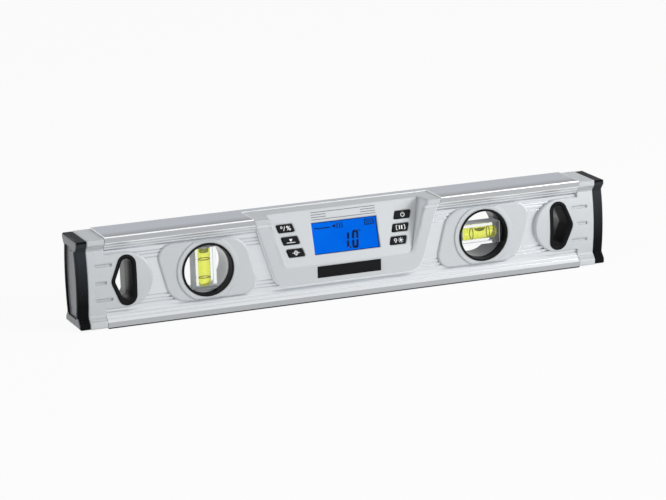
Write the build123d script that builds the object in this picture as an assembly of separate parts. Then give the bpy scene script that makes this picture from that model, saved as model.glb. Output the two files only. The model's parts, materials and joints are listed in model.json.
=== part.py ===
from build123d import *
import os
from math import atan2, cos, hypot, sin

# Digital spirit level. X runs along the bar, the front looks along minus Y and Z is up.
# The origin is the centre of the lower measuring face. Sizes are in millimetres.

# Bar
LENGTH = 401.6  # over both end caps
HEIGHT = 65.0  # between the two measuring faces
DEPTH = 34.0  # across a measuring face
WEB_RECESS = 5.5  # from the front of a rail back to the web
RAIL_FACE = 4.5  # upright face of a rail
SLOPE_HEIGHT = 6.5  # height of the slope between rail and web
PROFILE_WALL = 2.2
EDGE_CHAMFER = 0.5  # broken edges of the milled faces
GROOVE = 0.8  # width of the fine grooves that run along the bar
WEB_GROOVES = (3.2, 5.4, 8.0)  # distance of the web grooves from the end of a slope
SLOPE_GROOVES = (0.34, 0.68)  # place of the slope grooves along the slope

# Ends
CAP_LENGTH = 7.6
CAP_INSET = 1.3  # cap below the measuring faces
CAP_EDGE = 1.6
CAP_RIM = 3.2  # rim at the sides of the sunk outer face
CAP_HEAD = 7.3  # height left above and below the sunk outer face
CAP_SINK = 1.3
CAP_PLUG = 6.0
VENT_RADIUS = 0.8
VENT_DEPTH = 2.0
VENT_DROP = 3.3  # vent below the upper edge of the sunk face
HOUSING_LENGTH = 13.0
HOUSING_INSET = 1.0  # housing below the measuring faces
HOUSING_EDGE = 0.6  # broken edge at the seam with the cap
HOUSING_WALL = 2.2
HOUSING_SIDE_INSET = 0.25
TONGUE = 1.4  # thickness of the housing tongue on the web, at its upper and lower edge
END_CROWN = 2.2  # how far the faces of housing, tongue and cap bulge at mid-height
TONGUE_EDGE = 0.7
TONGUE_MARGIN = 1.7  # tongue around the rim of the hand hole
TONGUE_REACH = 14.6  # from the end of the profile to the centre of the tongue's round end
SPIGOT = 4.6  # how far the housing plugs into the profile
GRIP_SLOT_HEIGHT = 1.8
GRIP_SLOT_DEPTH = 0.8
GRIP_SLOT_PITCH = 12.2
GRIP_SLOT_LONG = 12.2
GRIP_SLOT_SHORT = 8.0
GRIP_SLOT_END = 5.6  # from the inner edge of a cap to the slots

# Hand holes
HOLE_TALL = 22.4  # between the two inner corner centres
HOLE_POINT = 4.6  # from the inner corner centres out to the pointed corner's centre
HOLE_REACH = 15.6  # from the end of the profile to the inner corner centres
HOLE_CORNER = 6.9  # corner radius of the rim
RIM_WIDTH = 1.4  # rim that laps over the tongue
RIM_PROUD = 0.6
RIM_EDGE = 0.4
LIP_EDGE = 1.4  # sloped inner edge of the rim
LINER_WALL = 2.2
LINER_DRAFT = 2.5  # degrees

# Vial windows
WINDOW_X = 105.2
WINDOW_RADIUS = 19.0  # outside of the black ring
RING_WALL = 1.4
RING_DEPTH = 7.0
RING_PROUD = 0.4
BARREL_WALL = 1.9
PLATE_HALF = 33.2  # half the width of a slanted plate
PLATE_LEAN = 0.26  # sideways shift for each unit of height
PLATE_SHARP_CORNER = 10.0
PLATE_BLUNT_CORNER = 16.0
PLATE_THICK = 1.6
PLATE_EDGE = 0.8
PLATE_GAP = 0.2  # between plate and slope
COLLAR_RADIUS = 22.6
COLLAR_RISE = 0.6
COLLAR_MARGIN = 1.0

# Vials
VIAL_WIDTH = 15.5
VIAL_DEPTH = 12.4
VIAL_EDGE = 0.3
VIAL_FORWARD = 3.0  # from the middle of the bar to the middle of a vial
BORE_RADIUS = 4.5
BORE_END = 1.2  # closed end of the bore, and thickness of the plug
BORE_ROUND = 3.0  # round corner at the closed end of the bore
LINE_SPACING = 13.0
READING_SHIFT = 0.7  # middle of the reading lines from the middle of the vial, away from its plug
LINE_WIDTH = 0.6
LINE_DEPTH = 0.2
BUBBLE_LENGTH = 8.8
BUBBLE_HEIGHT = 2.9
BUBBLE_GAP = 0.4  # from a bubble to the outside of the liquid
PLUMB_BUBBLE_HEIGHT = 3.6
CHANNEL_WALL = 0.15  # liquid left around the channel of a bubble

# Display housing
HOUSING_TOP_HALF = 71.0
HOUSING_TOP_DROP = 0.7  # below the upper measuring face
HOUSING_BOTTOM = 12.3
SIDE_LEAN = 0.31  # how the sides close in for each unit of height
HOUSING_CORNER = 12.0
PAD_PROUD = 3.5  # front pad above the web
PAD_EDGE = 1.2
WING_DROP = 4.1  # upright face of the wings
SHELL_WALL = 1.8
CREASE_HEIGHT = 26.5  # lower edge of the leaning panel
PANEL_SETBACK = 11.0  # how far back the panel's top edge lies behind the pad
PANEL_LOW_HALF = 48.2
PANEL_LEAN = 0.245
PANEL_FLARE = 13.0  # degrees, side walls of the recess
PANEL_BELOW = 0.5  # the recess is cut from this far below the crease
PANEL_CORNER = 6.0
BADGE_LENGTH = 48.4
BADGE_HEIGHT = 8.4
BADGE_THICK = 0.7
BADGE_SINK = 0.5
BADGE_Z = 20.8

# Display, board and keys, measured on the leaning panel
DISPLAY_WIDTH = 50.0
DISPLAY_HEIGHT = 22.8
DISPLAY_MIDDLE = 18.25  # up the panel from the crease
GLASS_MARGIN = 2.3
GLASS_THICK = 1.6
BACKLIGHT_THICK = 1.8
BOARD_WIDTH = 104.0
BOARD_LOW = 2.0
BOARD_HIGH = 36.0
BOARD_THICK = 1.6
POST_PLACES = ((31.6, 34.0), (36.0, 3.8))
POST_SIDE = 3.2
KEY_WIDTH = 12.1
KEY_HEIGHT = 5.5
KEY_CORNER = 0.7
KEY_LEAN = 0.3
KEY_LOW_X = 39.2
KEY_LOW = 10.1
KEY_PITCH = 9.0
KEY_PROUD = 0.8
KEY_EDGE = 0.4
KEY_FLANGE = 0.8
KEY_FLANGE_THICK = 0.8
KEY_STEM = 2.6
KEY_TRAVEL = 0.5
KEY_SPARE = 0.2  # left between stem and switch when a key is pressed
SWITCH_SIDE = 4.6
SWITCH_THICK = 1.4
CHIP_SIDE = 10.0
CHIP_THICK = 1.4
CHIP_PLACE = (0.0, 29.0)
SENSOR_SIDE = 13.0
SENSOR_THICK = 4.0
SENSOR_PLACE = (40.0, 24.0)
BUZZER_RADIUS = 6.0
BUZZER_THICK = 3.5
BUZZER_PLACE = (-40.0, 24.0)

# Rear cover and batteries
COVER_THICK = 2.0
COVER_TOP_DROP = 1.3  # below the upper end of the web
COVER_TOP_CORNER = 4.0
COVER_EDGE = 0.6
CELL_RADIUS = 5.25
CELL_LENGTH = 43.5
CELL_NUB = 1.0
CELL_NUB_RADIUS = 1.9
CELL_GAP = 0.4
TRAY_WALL = 1.4
TRAY_RISE = 0.3  # tray above the floor of the display housing
CONTACT_THICK = 0.4
CONTACT_SIDE = 8.0
SPRING_WIDTH = 4.0
SPRING_REACH = 2.2
DOOR_LEDGE = 0.2  # rim of the tray above the web
DOOR_PIN_RADIUS = 0.5
DOOR_PIN_LENGTH = 1.2
THUMB_WIDTH = 16.0
THUMB_HEIGHT = 5.0
THUMB_DEPTH = 1.0
SCREW_TOP_DROP = 17.3  # upper screws below the top of the display housing
SCREW_TOP_INSET = 6.1  # upper screws from the side of the housing
SCREW_LOW_RISE = 6.7  # lower screws above the bottom of the housing
SCREW_LOW_INSET = 13.0
SCREW_RADIUS = 1.2
SCREW_HEAD_RADIUS = 2.6
SCREW_HEAD = 1.2
SCREW_LENGTH = 14.0
BOSS_RADIUS = 3.0  # bosses of the display housing that take the screws

# Clearances
FIT = 0.1  # pieces that are pushed together
SLIDE_FIT = 0.25  # pieces that move past each other

# Derived sizes
RAIL_HALF = DEPTH / 2
WEB_HALF = RAIL_HALF - WEB_RECESS
MIDDLE = HEIGHT / 2
CAP_INNER = LENGTH / 2 - CAP_LENGTH
PROFILE_HALF = CAP_INNER - HOUSING_LENGTH
WEB_LOW = RAIL_FACE + SLOPE_HEIGHT
CAVITY_HALF = WEB_HALF - PROFILE_WALL
END_HALF = WEB_HALF + TONGUE
TONGUE_RADIUS = HOLE_TALL / 2 + HOLE_CORNER + TONGUE_MARGIN
HOUSING_TOP = HEIGHT - HOUSING_TOP_DROP
PAD = WEB_HALF + PAD_PROUD
PANEL_RISE = HOUSING_TOP - CREASE_HEIGHT
PANEL_TILT = atan2(PANEL_SETBACK, PANEL_RISE)
PANEL_LENGTH = hypot(PANEL_SETBACK, PANEL_RISE)
PANEL_NORMAL = (0, -cos(PANEL_TILT), sin(PANEL_TILT))
PANEL = Plane(origin=(0, -PAD, CREASE_HEIGHT), x_dir=(1, 0, 0), z_dir=PANEL_NORMAL)
BOARD_FRONT = SHELL_WALL + GLASS_THICK + BACKLIGHT_THICK
HOUSING_BACK = CAVITY_HALF - FIT
VIAL_HALF = ((WINDOW_RADIUS - BARREL_WALL - SLIDE_FIT) ** 2 - (VIAL_WIDTH / 2) ** 2) ** 0.5
FLUID_HALF = VIAL_HALF - BORE_END
FLUID_RADIUS = BORE_RADIUS - LINE_DEPTH
RING_FRONT = WEB_HALF + PLATE_THICK + COLLAR_RISE + RING_PROUD
BARREL_HALF = RING_FRONT - RING_DEPTH
COVER_FACE = WEB_HALF + COVER_THICK
CELL_SPAN = CELL_LENGTH + CELL_NUB
TRAY_HALF = (CELL_SPAN + 2 * CONTACT_THICK + SPRING_REACH + FIT) / 2
TRAY_OUTER = TRAY_HALF + TRAY_WALL
TRAY_HEIGHT = 4 * CELL_RADIUS + 3 * CELL_GAP
TRAY_BOTTOM = HOUSING_BOTTOM + SHELL_WALL + TRAY_RISE
TRAY_MIDDLE = TRAY_BOTTOM + TRAY_WALL + TRAY_HEIGHT / 2
DOOR_BACK = WEB_HALF + DOOR_LEDGE
DOOR_THICK = COVER_FACE - DOOR_BACK
TRAY_FLOOR = DOOR_BACK - 2 * CELL_RADIUS - CELL_GAP
CELL_Y = TRAY_FLOOR + CELL_RADIUS + FIT
DOOR_HALF = TRAY_OUTER - SLIDE_FIT
DOOR_TALL = TRAY_HEIGHT + 2 * TRAY_WALL - 2 * SLIDE_FIT
DOOR_BOTTOM = TRAY_MIDDLE - DOOR_TALL / 2
DOOR_AXIS = (DOOR_BACK + DOOR_THICK / 2, DOOR_BOTTOM + DOOR_THICK / 2)


def slope_z(y):
    """Height of the lower slope at depth y."""
    return RAIL_FACE + (RAIL_HALF - y) * SLOPE_HEIGHT / WEB_RECESS


def housing_half(z):
    """Half the width of the display housing at height z."""
    return HOUSING_TOP_HALF - SIDE_LEAN * (HOUSING_TOP - z)


def screw_places():
    """Places of the cover screws in X and Z."""
    upper = HOUSING_TOP - SCREW_TOP_DROP
    lower = HOUSING_BOTTOM + SCREW_LOW_RISE
    right = [(housing_half(upper) - SCREW_TOP_INSET, upper), (housing_half(lower) - SCREW_LOW_INSET, lower)]
    return right + [(-x, z) for x, z in right]


def span(outline, y_from, y_to):
    """Solid with an outline drawn in X and Z that reaches from depth y_from to depth y_to."""
    return extrude(Plane.XZ.offset(-y_to) * outline, amount=y_to - y_from)


def rod(x, z, radius, y_from, y_to):
    """Round rod along Y."""
    return span(Pos(x, z) * Circle(radius), y_from, y_to)


def box_between(x, y, z):
    """Box between two limits on each axis."""
    middle = [(low + high) / 2 for low, high in (x, y, z)]
    return Pos(*middle) * Box(x[1] - x[0], y[1] - y[0], z[1] - z[0])


def on_panel(x, up, high, low):
    """Place on the leaning panel and the middle and thickness of a layer, heights outward."""
    return PANEL * Pos(x, up, (high + low) / 2), high - low


def bar_section(rail_half, web_half, inset):
    """I-shaped section in Y and Z whose slopes lie on the slopes of the profile."""
    lower = [(rail_half, inset), (rail_half, slope_z(rail_half)), (web_half, slope_z(web_half))]
    right = lower + [(y, HEIGHT - z) for y, z in reversed(lower)]
    left = [(-y, z) for y, z in reversed(right)]
    return make_face(Polyline(*right, *left, close=True))


def end_swell(proud):
    """Section in Y and Z between the bulging faces of an end, raised by proud."""
    half = END_HALF + proud
    low = slope_z(END_HALF)
    high = HEIGHT - low
    front = ThreePointArc((-half, low), (-half - END_CROWN, MIDDLE), (-half, high))
    rear = ThreePointArc((half, high), (half + END_CROWN, MIDDLE), (half, low))
    return make_face([front, Line(front @ 1, rear @ 0), rear, Line(rear @ 1, front @ 0)])


def end_solid(proud):
    """Solid between the bulging faces of the right end, raised by proud."""
    return extrude(Plane.YZ * end_swell(proud), amount=LENGTH)


def end_section(inset):
    """Section of end housing and cap."""
    return bar_section(RAIL_HALF - HOUSING_SIDE_INSET, END_HALF, inset) + end_swell(0)


def end_grooves(start, length):
    """Grooves along the slopes of an end piece."""
    grooves = Sketch() + slope_grooves(RAIL_HALF - HOUSING_SIDE_INSET, END_HALF)
    return extrude(Plane.YZ.offset(start) * grooves, amount=length)


def slope_grooves(rail_half, web_half):
    """Small squares that notch the four slopes of a section."""
    places = [rail_half - (rail_half - web_half) * share for share in SLOPE_GROOVES]
    corners = [(y, slope_z(y)) for y in places]
    return [Pos(side * y, MIDDLE + end * (z - MIDDLE)) * Rectangle(GROOVE, GROOVE)
            for y, z in corners for side in (1, -1) for end in (1, -1)]


def web_grooves():
    """Small diamonds that notch the web near its ends."""
    diamond = Rot(0, 0, 45) * Rectangle(GROOVE, GROOVE)
    return [Pos(side * WEB_HALF, MIDDLE + end * (WEB_LOW + step - MIDDLE)) * diamond
            for step in WEB_GROOVES for side in (1, -1) for end in (1, -1)]


def cavity_section(shrink):
    """Hollow of the profile, drawn in by a clearance."""
    return offset(bar_section(RAIL_HALF, WEB_HALF, 0), -PROFILE_WALL - shrink, kind=Kind.INTERSECTION)


def hole_outline(grow):
    """Hand hole of the right end: a triangle with round corners, pointed outward."""
    inner = PROFILE_HALF - HOLE_REACH
    low = MIDDLE - HOLE_TALL / 2
    corners = [(inner, low), (inner, low + HOLE_TALL), (inner + HOLE_POINT, MIDDLE)]
    return offset(make_face(Polyline(*corners, close=True)), HOLE_CORNER + grow)


def housing_outline():
    """Front outline of the display housing, narrower at the bottom, with round lower corners."""
    corners = [(-housing_half(z), z) for z in (HOUSING_TOP, HOUSING_BOTTOM)]
    mirrored = [(-x, z) for x, z in reversed(corners)]
    outline = make_face(Polyline(*corners, *mirrored, close=True))
    return fillet(outline.vertices().sort_by(Axis.Y)[:2], HOUSING_CORNER)


def cover_outline():
    """Outline of the rear cover: the display housing's outline cut off below the rail."""
    top = HEIGHT - WEB_LOW - COVER_TOP_DROP
    outline = housing_outline() & Pos(0, top - HEIGHT / 2) * Rectangle(LENGTH, HEIGHT)
    return fillet(outline.vertices().sort_by(Axis.Y)[-2:], COVER_TOP_CORNER)


def from_middle(vertex):
    """Distance of a vertex from the middle, along X."""
    return abs(vertex.X)


def plate_outline(side):
    """Slanted vial plate, its top leaning towards the end of the bar."""
    half_tall = MIDDLE - WEB_LOW - PLATE_GAP
    shift = side * PLATE_LEAN * half_tall
    points = [(-PLATE_HALF - shift, -half_tall), (PLATE_HALF - shift, -half_tall),
              (PLATE_HALF + shift, half_tall), (-PLATE_HALF + shift, half_tall)]
    outline = make_face(Polyline(*points, close=True))
    outline = fillet(sorted(outline.vertices(), key=from_middle)[:2], PLATE_BLUNT_CORNER)
    outline = fillet(sorted(outline.vertices(), key=from_middle)[-2:], PLATE_SHARP_CORNER)
    return Pos(side * WINDOW_X, MIDDLE) * outline


def key_outline(side):
    """Key shape on the panel, leaning with the side of the housing."""
    shift = side * KEY_LEAN * KEY_HEIGHT / 2
    half, tall = KEY_WIDTH / 2, KEY_HEIGHT / 2
    points = [(-half - shift, -tall), (half - shift, -tall), (half + shift, tall), (-half + shift, tall)]
    return make_face(Polyline(*points, close=True))


def key_place(side, row):
    """Middle of a key on the panel."""
    return side * (KEY_LOW_X + KEY_LEAN * KEY_PITCH * row), KEY_LOW + KEY_PITCH * row


def panel_outline(grow):
    """Front of the leaning panel, wider at the top."""
    low, high = -PANEL_BELOW, PANEL_LENGTH + DEPTH
    right = [(PANEL_LOW_HALF + PANEL_LEAN * up + grow, up) for up in (low, high)]
    left = [(-x, up) for x, up in reversed(right)]
    outline = make_face(Polyline(*right, *left, close=True))
    return fillet(outline.vertices().sort_by(Axis.Y)[:2], PANEL_CORNER + grow)


def make_profile():
    """Hollow aluminium bar with its windows, end slots, display notch and rear openings."""
    section = bar_section(RAIL_HALF, WEB_HALF, 0)
    edges = [v for v in section.vertices() if min(v.Y, HEIGHT - v.Y) < EDGE_CHAMFER]
    section = chamfer(edges, EDGE_CHAMFER)
    section = section - slope_grooves(RAIL_HALF, WEB_HALF) - web_grooves() - cavity_section(0)
    body = extrude(Plane.YZ * section, amount=PROFILE_HALF, both=True)
    notch = offset(housing_outline(), FIT, kind=Kind.INTERSECTION)
    notch += Pos(0, HEIGHT) * Rectangle(2 * HOUSING_TOP_HALF, 2 * HOUSING_TOP_DROP)
    body -= span(notch, -DEPTH, CAVITY_HALF)
    slot = hole_outline(-RIM_WIDTH)
    slot_tall = HOLE_TALL + 2 * (HOLE_CORNER - RIM_WIDTH)
    slot += Pos(PROFILE_HALF, MIDDLE) * Rectangle(2 * HOLE_REACH, slot_tall)
    for side in (1, -1):
        body -= rod(side * WINDOW_X, MIDDLE, WINDOW_RADIUS + SLIDE_FIT, -DEPTH, DEPTH)
        body -= span(slot if side > 0 else mirror(slot, about=Plane.YZ), -DEPTH, DEPTH)
    for x, z in screw_places():
        body -= rod(x, z, SCREW_RADIUS + SLIDE_FIT, 0, DEPTH)
    tray_z = (TRAY_BOTTOM - FIT, TRAY_BOTTOM + TRAY_HEIGHT + 2 * TRAY_WALL + FIT)
    body -= box_between((-TRAY_OUTER - FIT, TRAY_OUTER + FIT), (0, RAIL_HALF), tray_z)
    return body


def make_end_housing():
    """Silver end moulding: a hollow end block, two tongues on the web and a spigot in the profile."""
    section = end_section(HOUSING_INSET)
    body = extrude(Plane.YZ.offset(PROFILE_HALF + FIT) * section, amount=HOUSING_LENGTH - FIT)
    body = chamfer(body.faces().sort_by(Axis.X)[-1].edges(), HOUSING_EDGE)
    body -= end_grooves(PROFILE_HALF, HOUSING_LENGTH)
    hollow = offset(section, -HOUSING_WALL, kind=Kind.INTERSECTION)
    body -= extrude(Plane.YZ.offset(PROFILE_HALF + FIT + HOUSING_WALL) * hollow, amount=HOUSING_LENGTH)
    centre = PROFILE_HALF - TONGUE_REACH
    outline = Pos(centre, MIDDLE) * Circle(TONGUE_RADIUS)
    outline += Pos((centre + PROFILE_HALF + HOUSING_WALL) / 2, MIDDLE) * Rectangle(
        TONGUE_REACH + HOUSING_WALL, 2 * TONGUE_RADIUS)
    tongue = span(outline, -DEPTH, -WEB_HALF) & end_solid(0)
    outer = tongue.faces().sort_by(Axis.Y)[0].edges()
    tongue = chamfer([e for e in outer if e.center().X < PROFILE_HALF - FIT], TONGUE_EDGE)
    body += [tongue, mirror(tongue, about=Plane.XZ)]
    ring = cavity_section(FIT) - offset(cavity_section(FIT), -HOUSING_WALL, kind=Kind.INTERSECTION)
    body += extrude(Plane.YZ.offset(PROFILE_HALF - SPIGOT) * ring, amount=SPIGOT + HOUSING_WALL)
    body -= span(hole_outline(-RIM_WIDTH), -DEPTH, DEPTH)
    slot_end = CAP_INNER - GRIP_SLOT_END
    slot_floor = end_solid(-GRIP_SLOT_DEPTH)
    for row in (-1, 0, 1):
        slot_start = slot_end - (GRIP_SLOT_LONG if row else GRIP_SLOT_SHORT)
        z = MIDDLE + row * GRIP_SLOT_PITCH
        slot = box_between((slot_start, slot_end), (-DEPTH, DEPTH),
                           (z - GRIP_SLOT_HEIGHT / 2, z + GRIP_SLOT_HEIGHT / 2))
        body -= slot - slot_floor
    return body


def make_end_cap():
    """Black end cap with round edges, a sunk outer face with a vent and a hollow plug."""
    section = end_section(CAP_INSET)
    body = extrude(Plane.YZ.offset(CAP_INNER) * section, amount=CAP_LENGTH)
    body = fillet(body.faces().sort_by(Axis.X)[-1].edges(), CAP_EDGE)
    body -= end_grooves(CAP_INNER, CAP_LENGTH)
    sunk = offset(end_swell(0), -CAP_RIM, kind=Kind.INTERSECTION)
    sunk += Pos(0, MIDDLE) * Rectangle(2 * (END_HALF - CAP_RIM), HEIGHT - 2 * CAP_HEAD)
    body -= extrude(Plane.YZ.offset(LENGTH / 2 - CAP_SINK) * sunk, amount=CAP_SINK)
    vent = Pos(0, HEIGHT - CAP_HEAD - VENT_DROP) * Circle(VENT_RADIUS)
    body -= extrude(Plane.YZ.offset(LENGTH / 2 - CAP_SINK - VENT_DEPTH) * vent, amount=VENT_DEPTH)
    plug = offset(section, -HOUSING_WALL - FIT, kind=Kind.INTERSECTION)
    plug -= offset(plug, -HOUSING_WALL, kind=Kind.INTERSECTION)
    return body + extrude(Plane.YZ.offset(CAP_INNER - CAP_PLUG) * plug, amount=CAP_PLUG)


def make_liner():
    """Front half of a hand-hole liner: a rim on the tongue and a sleeve to the middle of the bar."""
    front = end_solid(RIM_PROUD)
    rim = span(hole_outline(0), -DEPTH, 0) & front
    rim = chamfer(rim.faces().sort_by(Axis.Y)[0].edges(), RIM_EDGE)
    sleeve = span(hole_outline(-RIM_WIDTH - FIT), -DEPTH, 0) & end_solid(0)
    throat = Plane.XZ * hole_outline(-RIM_WIDTH - FIT - LINER_WALL)
    liner = rim - end_solid(0) + sleeve - extrude(throat, amount=RAIL_HALF, taper=-LINER_DRAFT)
    face = liner.faces().sort_by(Axis.Y)[0]
    return chamfer(face.inner_wires()[0].edges(), LIP_EDGE)


def make_plate(side):
    """Front vial plate with its raised collar."""
    outline = plate_outline(side)
    plate = span(outline, -WEB_HALF - PLATE_THICK, -WEB_HALF)
    plate = chamfer(plate.edges().group_by(Axis.Y)[0], PLATE_EDGE)
    window = Pos(side * WINDOW_X, MIDDLE)
    collar = window * Circle(COLLAR_RADIUS) & offset(outline, -COLLAR_MARGIN)
    plate += span(collar, -WEB_HALF - PLATE_THICK - COLLAR_RISE, -WEB_HALF - PLATE_THICK / 2)
    return plate - rod(side * WINDOW_X, MIDDLE, WINDOW_RADIUS + FIT, -DEPTH, 0)


def make_ring(side):
    """Front window ring, a short black sleeve."""
    section = Circle(WINDOW_RADIUS) - Circle(WINDOW_RADIUS - RING_WALL)
    return span(Pos(side * WINDOW_X, MIDDLE) * section, -RING_FRONT, -BARREL_HALF)


def place_window(side):
    """Place of a window, its local X along the vial: upright on the left, level on the right."""
    turn = Rot(0, 0, 0) if side > 0 else Rot(0, 90, 0)
    return Pos(side * WINDOW_X, 0, MIDDLE) * turn


def place_vial(side):
    """Place of a vial in its window."""
    return Pos(0, -VIAL_FORWARD, 0) * place_window(side)


def make_barrel(side):
    """Grey barrel between the rings, with a seat for each end of the vial."""
    bore = WINDOW_RADIUS - BARREL_WALL
    section = Circle(WINDOW_RADIUS) - Circle(bore)
    seats = Circle(bore) - Rectangle(2 * VIAL_HALF, 2 * bore)
    section += seats & Rectangle(2 * bore, VIAL_WIDTH + 2 * BARREL_WALL)
    return place_window(side) * span(section, -BARREL_HALF, BARREL_HALF)


def round_end(rod_along_x, radius):
    """Rod along X with a round corner at its far end."""
    return fillet(rod_along_x.edges().sort_by(Axis.X)[-1], radius)


def make_vial():
    """Clear block with a blind bore along X, round at its closed end."""
    block = Box(2 * VIAL_HALF, VIAL_DEPTH, VIAL_WIDTH)
    block = chamfer(block.edges().filter_by(Axis.X), VIAL_EDGE)
    bore_length = VIAL_HALF + FLUID_HALF
    bore = round_end(Rot(0, 90, 0) * Cylinder(BORE_RADIUS, bore_length), BORE_ROUND)
    return block - Pos(FLUID_HALF - bore_length / 2, 0, 0) * bore


def make_lines():
    """Reading lines: two thin dark rings on the wall of the bore."""
    ring = Cylinder(BORE_RADIUS, LINE_WIDTH) - Cylinder(FLUID_RADIUS, LINE_WIDTH)
    places = [READING_SHIFT + side * LINE_SPACING / 2 for side in (1, -1)]
    return Part() + [Pos(place, 0, 0) * Rot(0, 90, 0) * ring for place in places]


def make_plug():
    """Plug that closes the bore."""
    return Pos(-VIAL_HALF + BORE_END / 2, 0, 0) * Rot(0, 90, 0) * Cylinder(BORE_RADIUS, BORE_END)


def make_level_bubble():
    """Bubble between the lines under the top of the level bore, its lower side an arc along the bore."""
    arc_radius = ((BUBBLE_LENGTH / 2) ** 2 + BUBBLE_HEIGHT ** 2) / (2 * BUBBLE_HEIGHT)
    top = FLUID_RADIUS - BUBBLE_GAP
    bubble = Rot(0, 90, 0) * Cylinder(top, BUBBLE_LENGTH)
    underside = Rot(90, 0, 0) * Cylinder(arc_radius, 2 * top)
    return Pos(READING_SHIFT, 0, 0) * (bubble & Pos(0, 0, top - BUBBLE_HEIGHT + arc_radius) * underside)


def make_filling():
    """Liquid that fills a bore inside the reading lines."""
    return round_end(Rot(0, 90, 0) * Cylinder(FLUID_RADIUS, 2 * FLUID_HALF), BORE_ROUND - LINE_DEPTH)


def make_level_fluid():
    """Liquid of the level vial with the channel that its bubble runs in."""
    fluid = make_filling()
    channel = Circle(FLUID_RADIUS - CHANNEL_WALL)
    floor = FLUID_RADIUS - BUBBLE_GAP - BUBBLE_HEIGHT - SLIDE_FIT
    channel &= Pos(0, floor + FLUID_RADIUS) * Rectangle(2 * FLUID_RADIUS, 2 * FLUID_RADIUS)
    run = 2 * FLUID_HALF - BORE_ROUND
    return fluid - extrude(Plane.YZ.offset(-FLUID_HALF) * channel, amount=run)


def make_plumb_bubble():
    """Round bubble at the plugged upper end of the plumb bore, which lies along minus X here."""
    radius = FLUID_RADIUS - BUBBLE_GAP
    zone = Sphere(radius) & Box(PLUMB_BUBBLE_HEIGHT, 2 * radius, 2 * radius)
    return Pos(-FLUID_HALF + SLIDE_FIT + PLUMB_BUBBLE_HEIGHT / 2, 0, 0) * zone


def make_plumb_fluid():
    """Liquid of the plumb vial with the channel that its bubble runs in."""
    fluid = make_filling()
    channel = Circle(FLUID_RADIUS - CHANNEL_WALL)
    run = 2 * FLUID_HALF - BORE_ROUND
    return fluid - extrude(Plane.YZ.offset(-FLUID_HALF) * channel, amount=run)


def make_display_housing():
    """Silver front moulding: pad, two wings level with the rail and a recessed leaning panel."""
    body = span(housing_outline(), -RAIL_HALF, HOUSING_BACK)
    wing_low = HOUSING_TOP - WING_DROP
    slope_low = wing_low - (RAIL_HALF - PAD) * SLOPE_HEIGHT / WEB_RECESS
    side_view = [(HOUSING_BACK, 0), (HOUSING_BACK, HEIGHT), (-RAIL_HALF, HEIGHT), (-RAIL_HALF, wing_low),
                 (-PAD, slope_low), (-PAD, 0)]
    body &= extrude(Plane.YZ * make_face(Polyline(*side_view, close=True)), amount=LENGTH, both=True)
    front = [e for e in body.edges() if abs(e.center().Y + PAD) < PAD_EDGE]
    body = fillet([e for e in front if e.center().Z < slope_low - PAD_EDGE], PAD_EDGE)
    body -= extrude(PANEL * panel_outline(0), amount=DEPTH, taper=-PANEL_FLARE)
    inner = span(offset(housing_outline(), -SHELL_WALL, kind=Kind.INTERSECTION), -PAD + SHELL_WALL, DEPTH)
    inner -= extrude(PANEL.offset(-SHELL_WALL) * panel_outline(SHELL_WALL), amount=DEPTH, taper=-PANEL_FLARE)
    body -= inner
    for x, z in screw_places():
        body += rod(x, z, BOSS_RADIUS, -PAD + SHELL_WALL / 2, HOUSING_BACK)
        body -= rod(x, z, SCREW_RADIUS, COVER_FACE - SCREW_LENGTH - SLIDE_FIT, DEPTH)
    for side in (1, -1):
        for x, up in POST_PLACES:
            place, tall = on_panel(side * x, up, -SHELL_WALL / 2, -BOARD_FRONT)
            body += place * Box(POST_SIDE, POST_SIDE, tall)
        for row in range(3):
            x, up = key_place(side, row)
            hole = offset(fillet(key_outline(side).vertices(), KEY_CORNER), SLIDE_FIT)
            body -= extrude(PANEL * Pos(x, up, 0) * hole, amount=SHELL_WALL * 2, both=True)
    place, deep = on_panel(0, DISPLAY_MIDDLE, SHELL_WALL, -2 * SHELL_WALL)
    body -= place * Box(DISPLAY_WIDTH, DISPLAY_HEIGHT, deep)
    return body - span(Pos(0, BADGE_Z) * Rectangle(BADGE_LENGTH, BADGE_HEIGHT), -DEPTH, -PAD + BADGE_SINK)


def make_badge():
    """Bare black plate under the display."""
    outline = Pos(0, BADGE_Z) * Rectangle(BADGE_LENGTH - 2 * FIT, BADGE_HEIGHT - 2 * FIT)
    return span(outline, -PAD + BADGE_SINK - BADGE_THICK, -PAD + BADGE_SINK)


def make_layer(width, tall, up, high, low):
    """Flat rectangular layer behind the panel."""
    place, thick = on_panel(0, up, high, low)
    return place * Box(width, tall, thick)


def make_key(side, row):
    """Key with a flange behind the panel and a stem towards its switch."""
    x, up = key_place(side, row)
    outline = key_outline(side)
    front = fillet(outline.vertices(), KEY_CORNER)
    flange = offset(outline, KEY_FLANGE, kind=Kind.INTERSECTION)
    flange_back = -SHELL_WALL - KEY_FLANGE_THICK
    stem_end = -BOARD_FRONT + SWITCH_THICK + KEY_TRAVEL + KEY_SPARE
    cap = extrude(Pos(0, 0, -SHELL_WALL) * front, amount=SHELL_WALL + KEY_PROUD)
    cap = chamfer(cap.edges().group_by(Axis.Z)[-1], KEY_EDGE)
    key = cap + extrude(Pos(0, 0, flange_back) * flange, amount=KEY_FLANGE_THICK)
    key += Pos(0, 0, (flange_back + stem_end) / 2) * Box(KEY_STEM, KEY_STEM, flange_back - stem_end)
    return PANEL * Pos(x, up, 0) * key


def make_switches():
    """Six push switches on the board, one under each key."""
    switches = []
    for side in (1, -1):
        for row in range(3):
            x, up = key_place(side, row)
            place, thick = on_panel(x, up, SWITCH_THICK - BOARD_FRONT, -BOARD_FRONT)
            switches.append(place * Box(SWITCH_SIDE, SWITCH_SIDE, thick))
    return Part() + switches


def on_board(spot, shape, thick):
    """Put a component on the back of the board."""
    return PANEL * Pos(*spot, -BOARD_FRONT - BOARD_THICK - thick / 2) * shape


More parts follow.
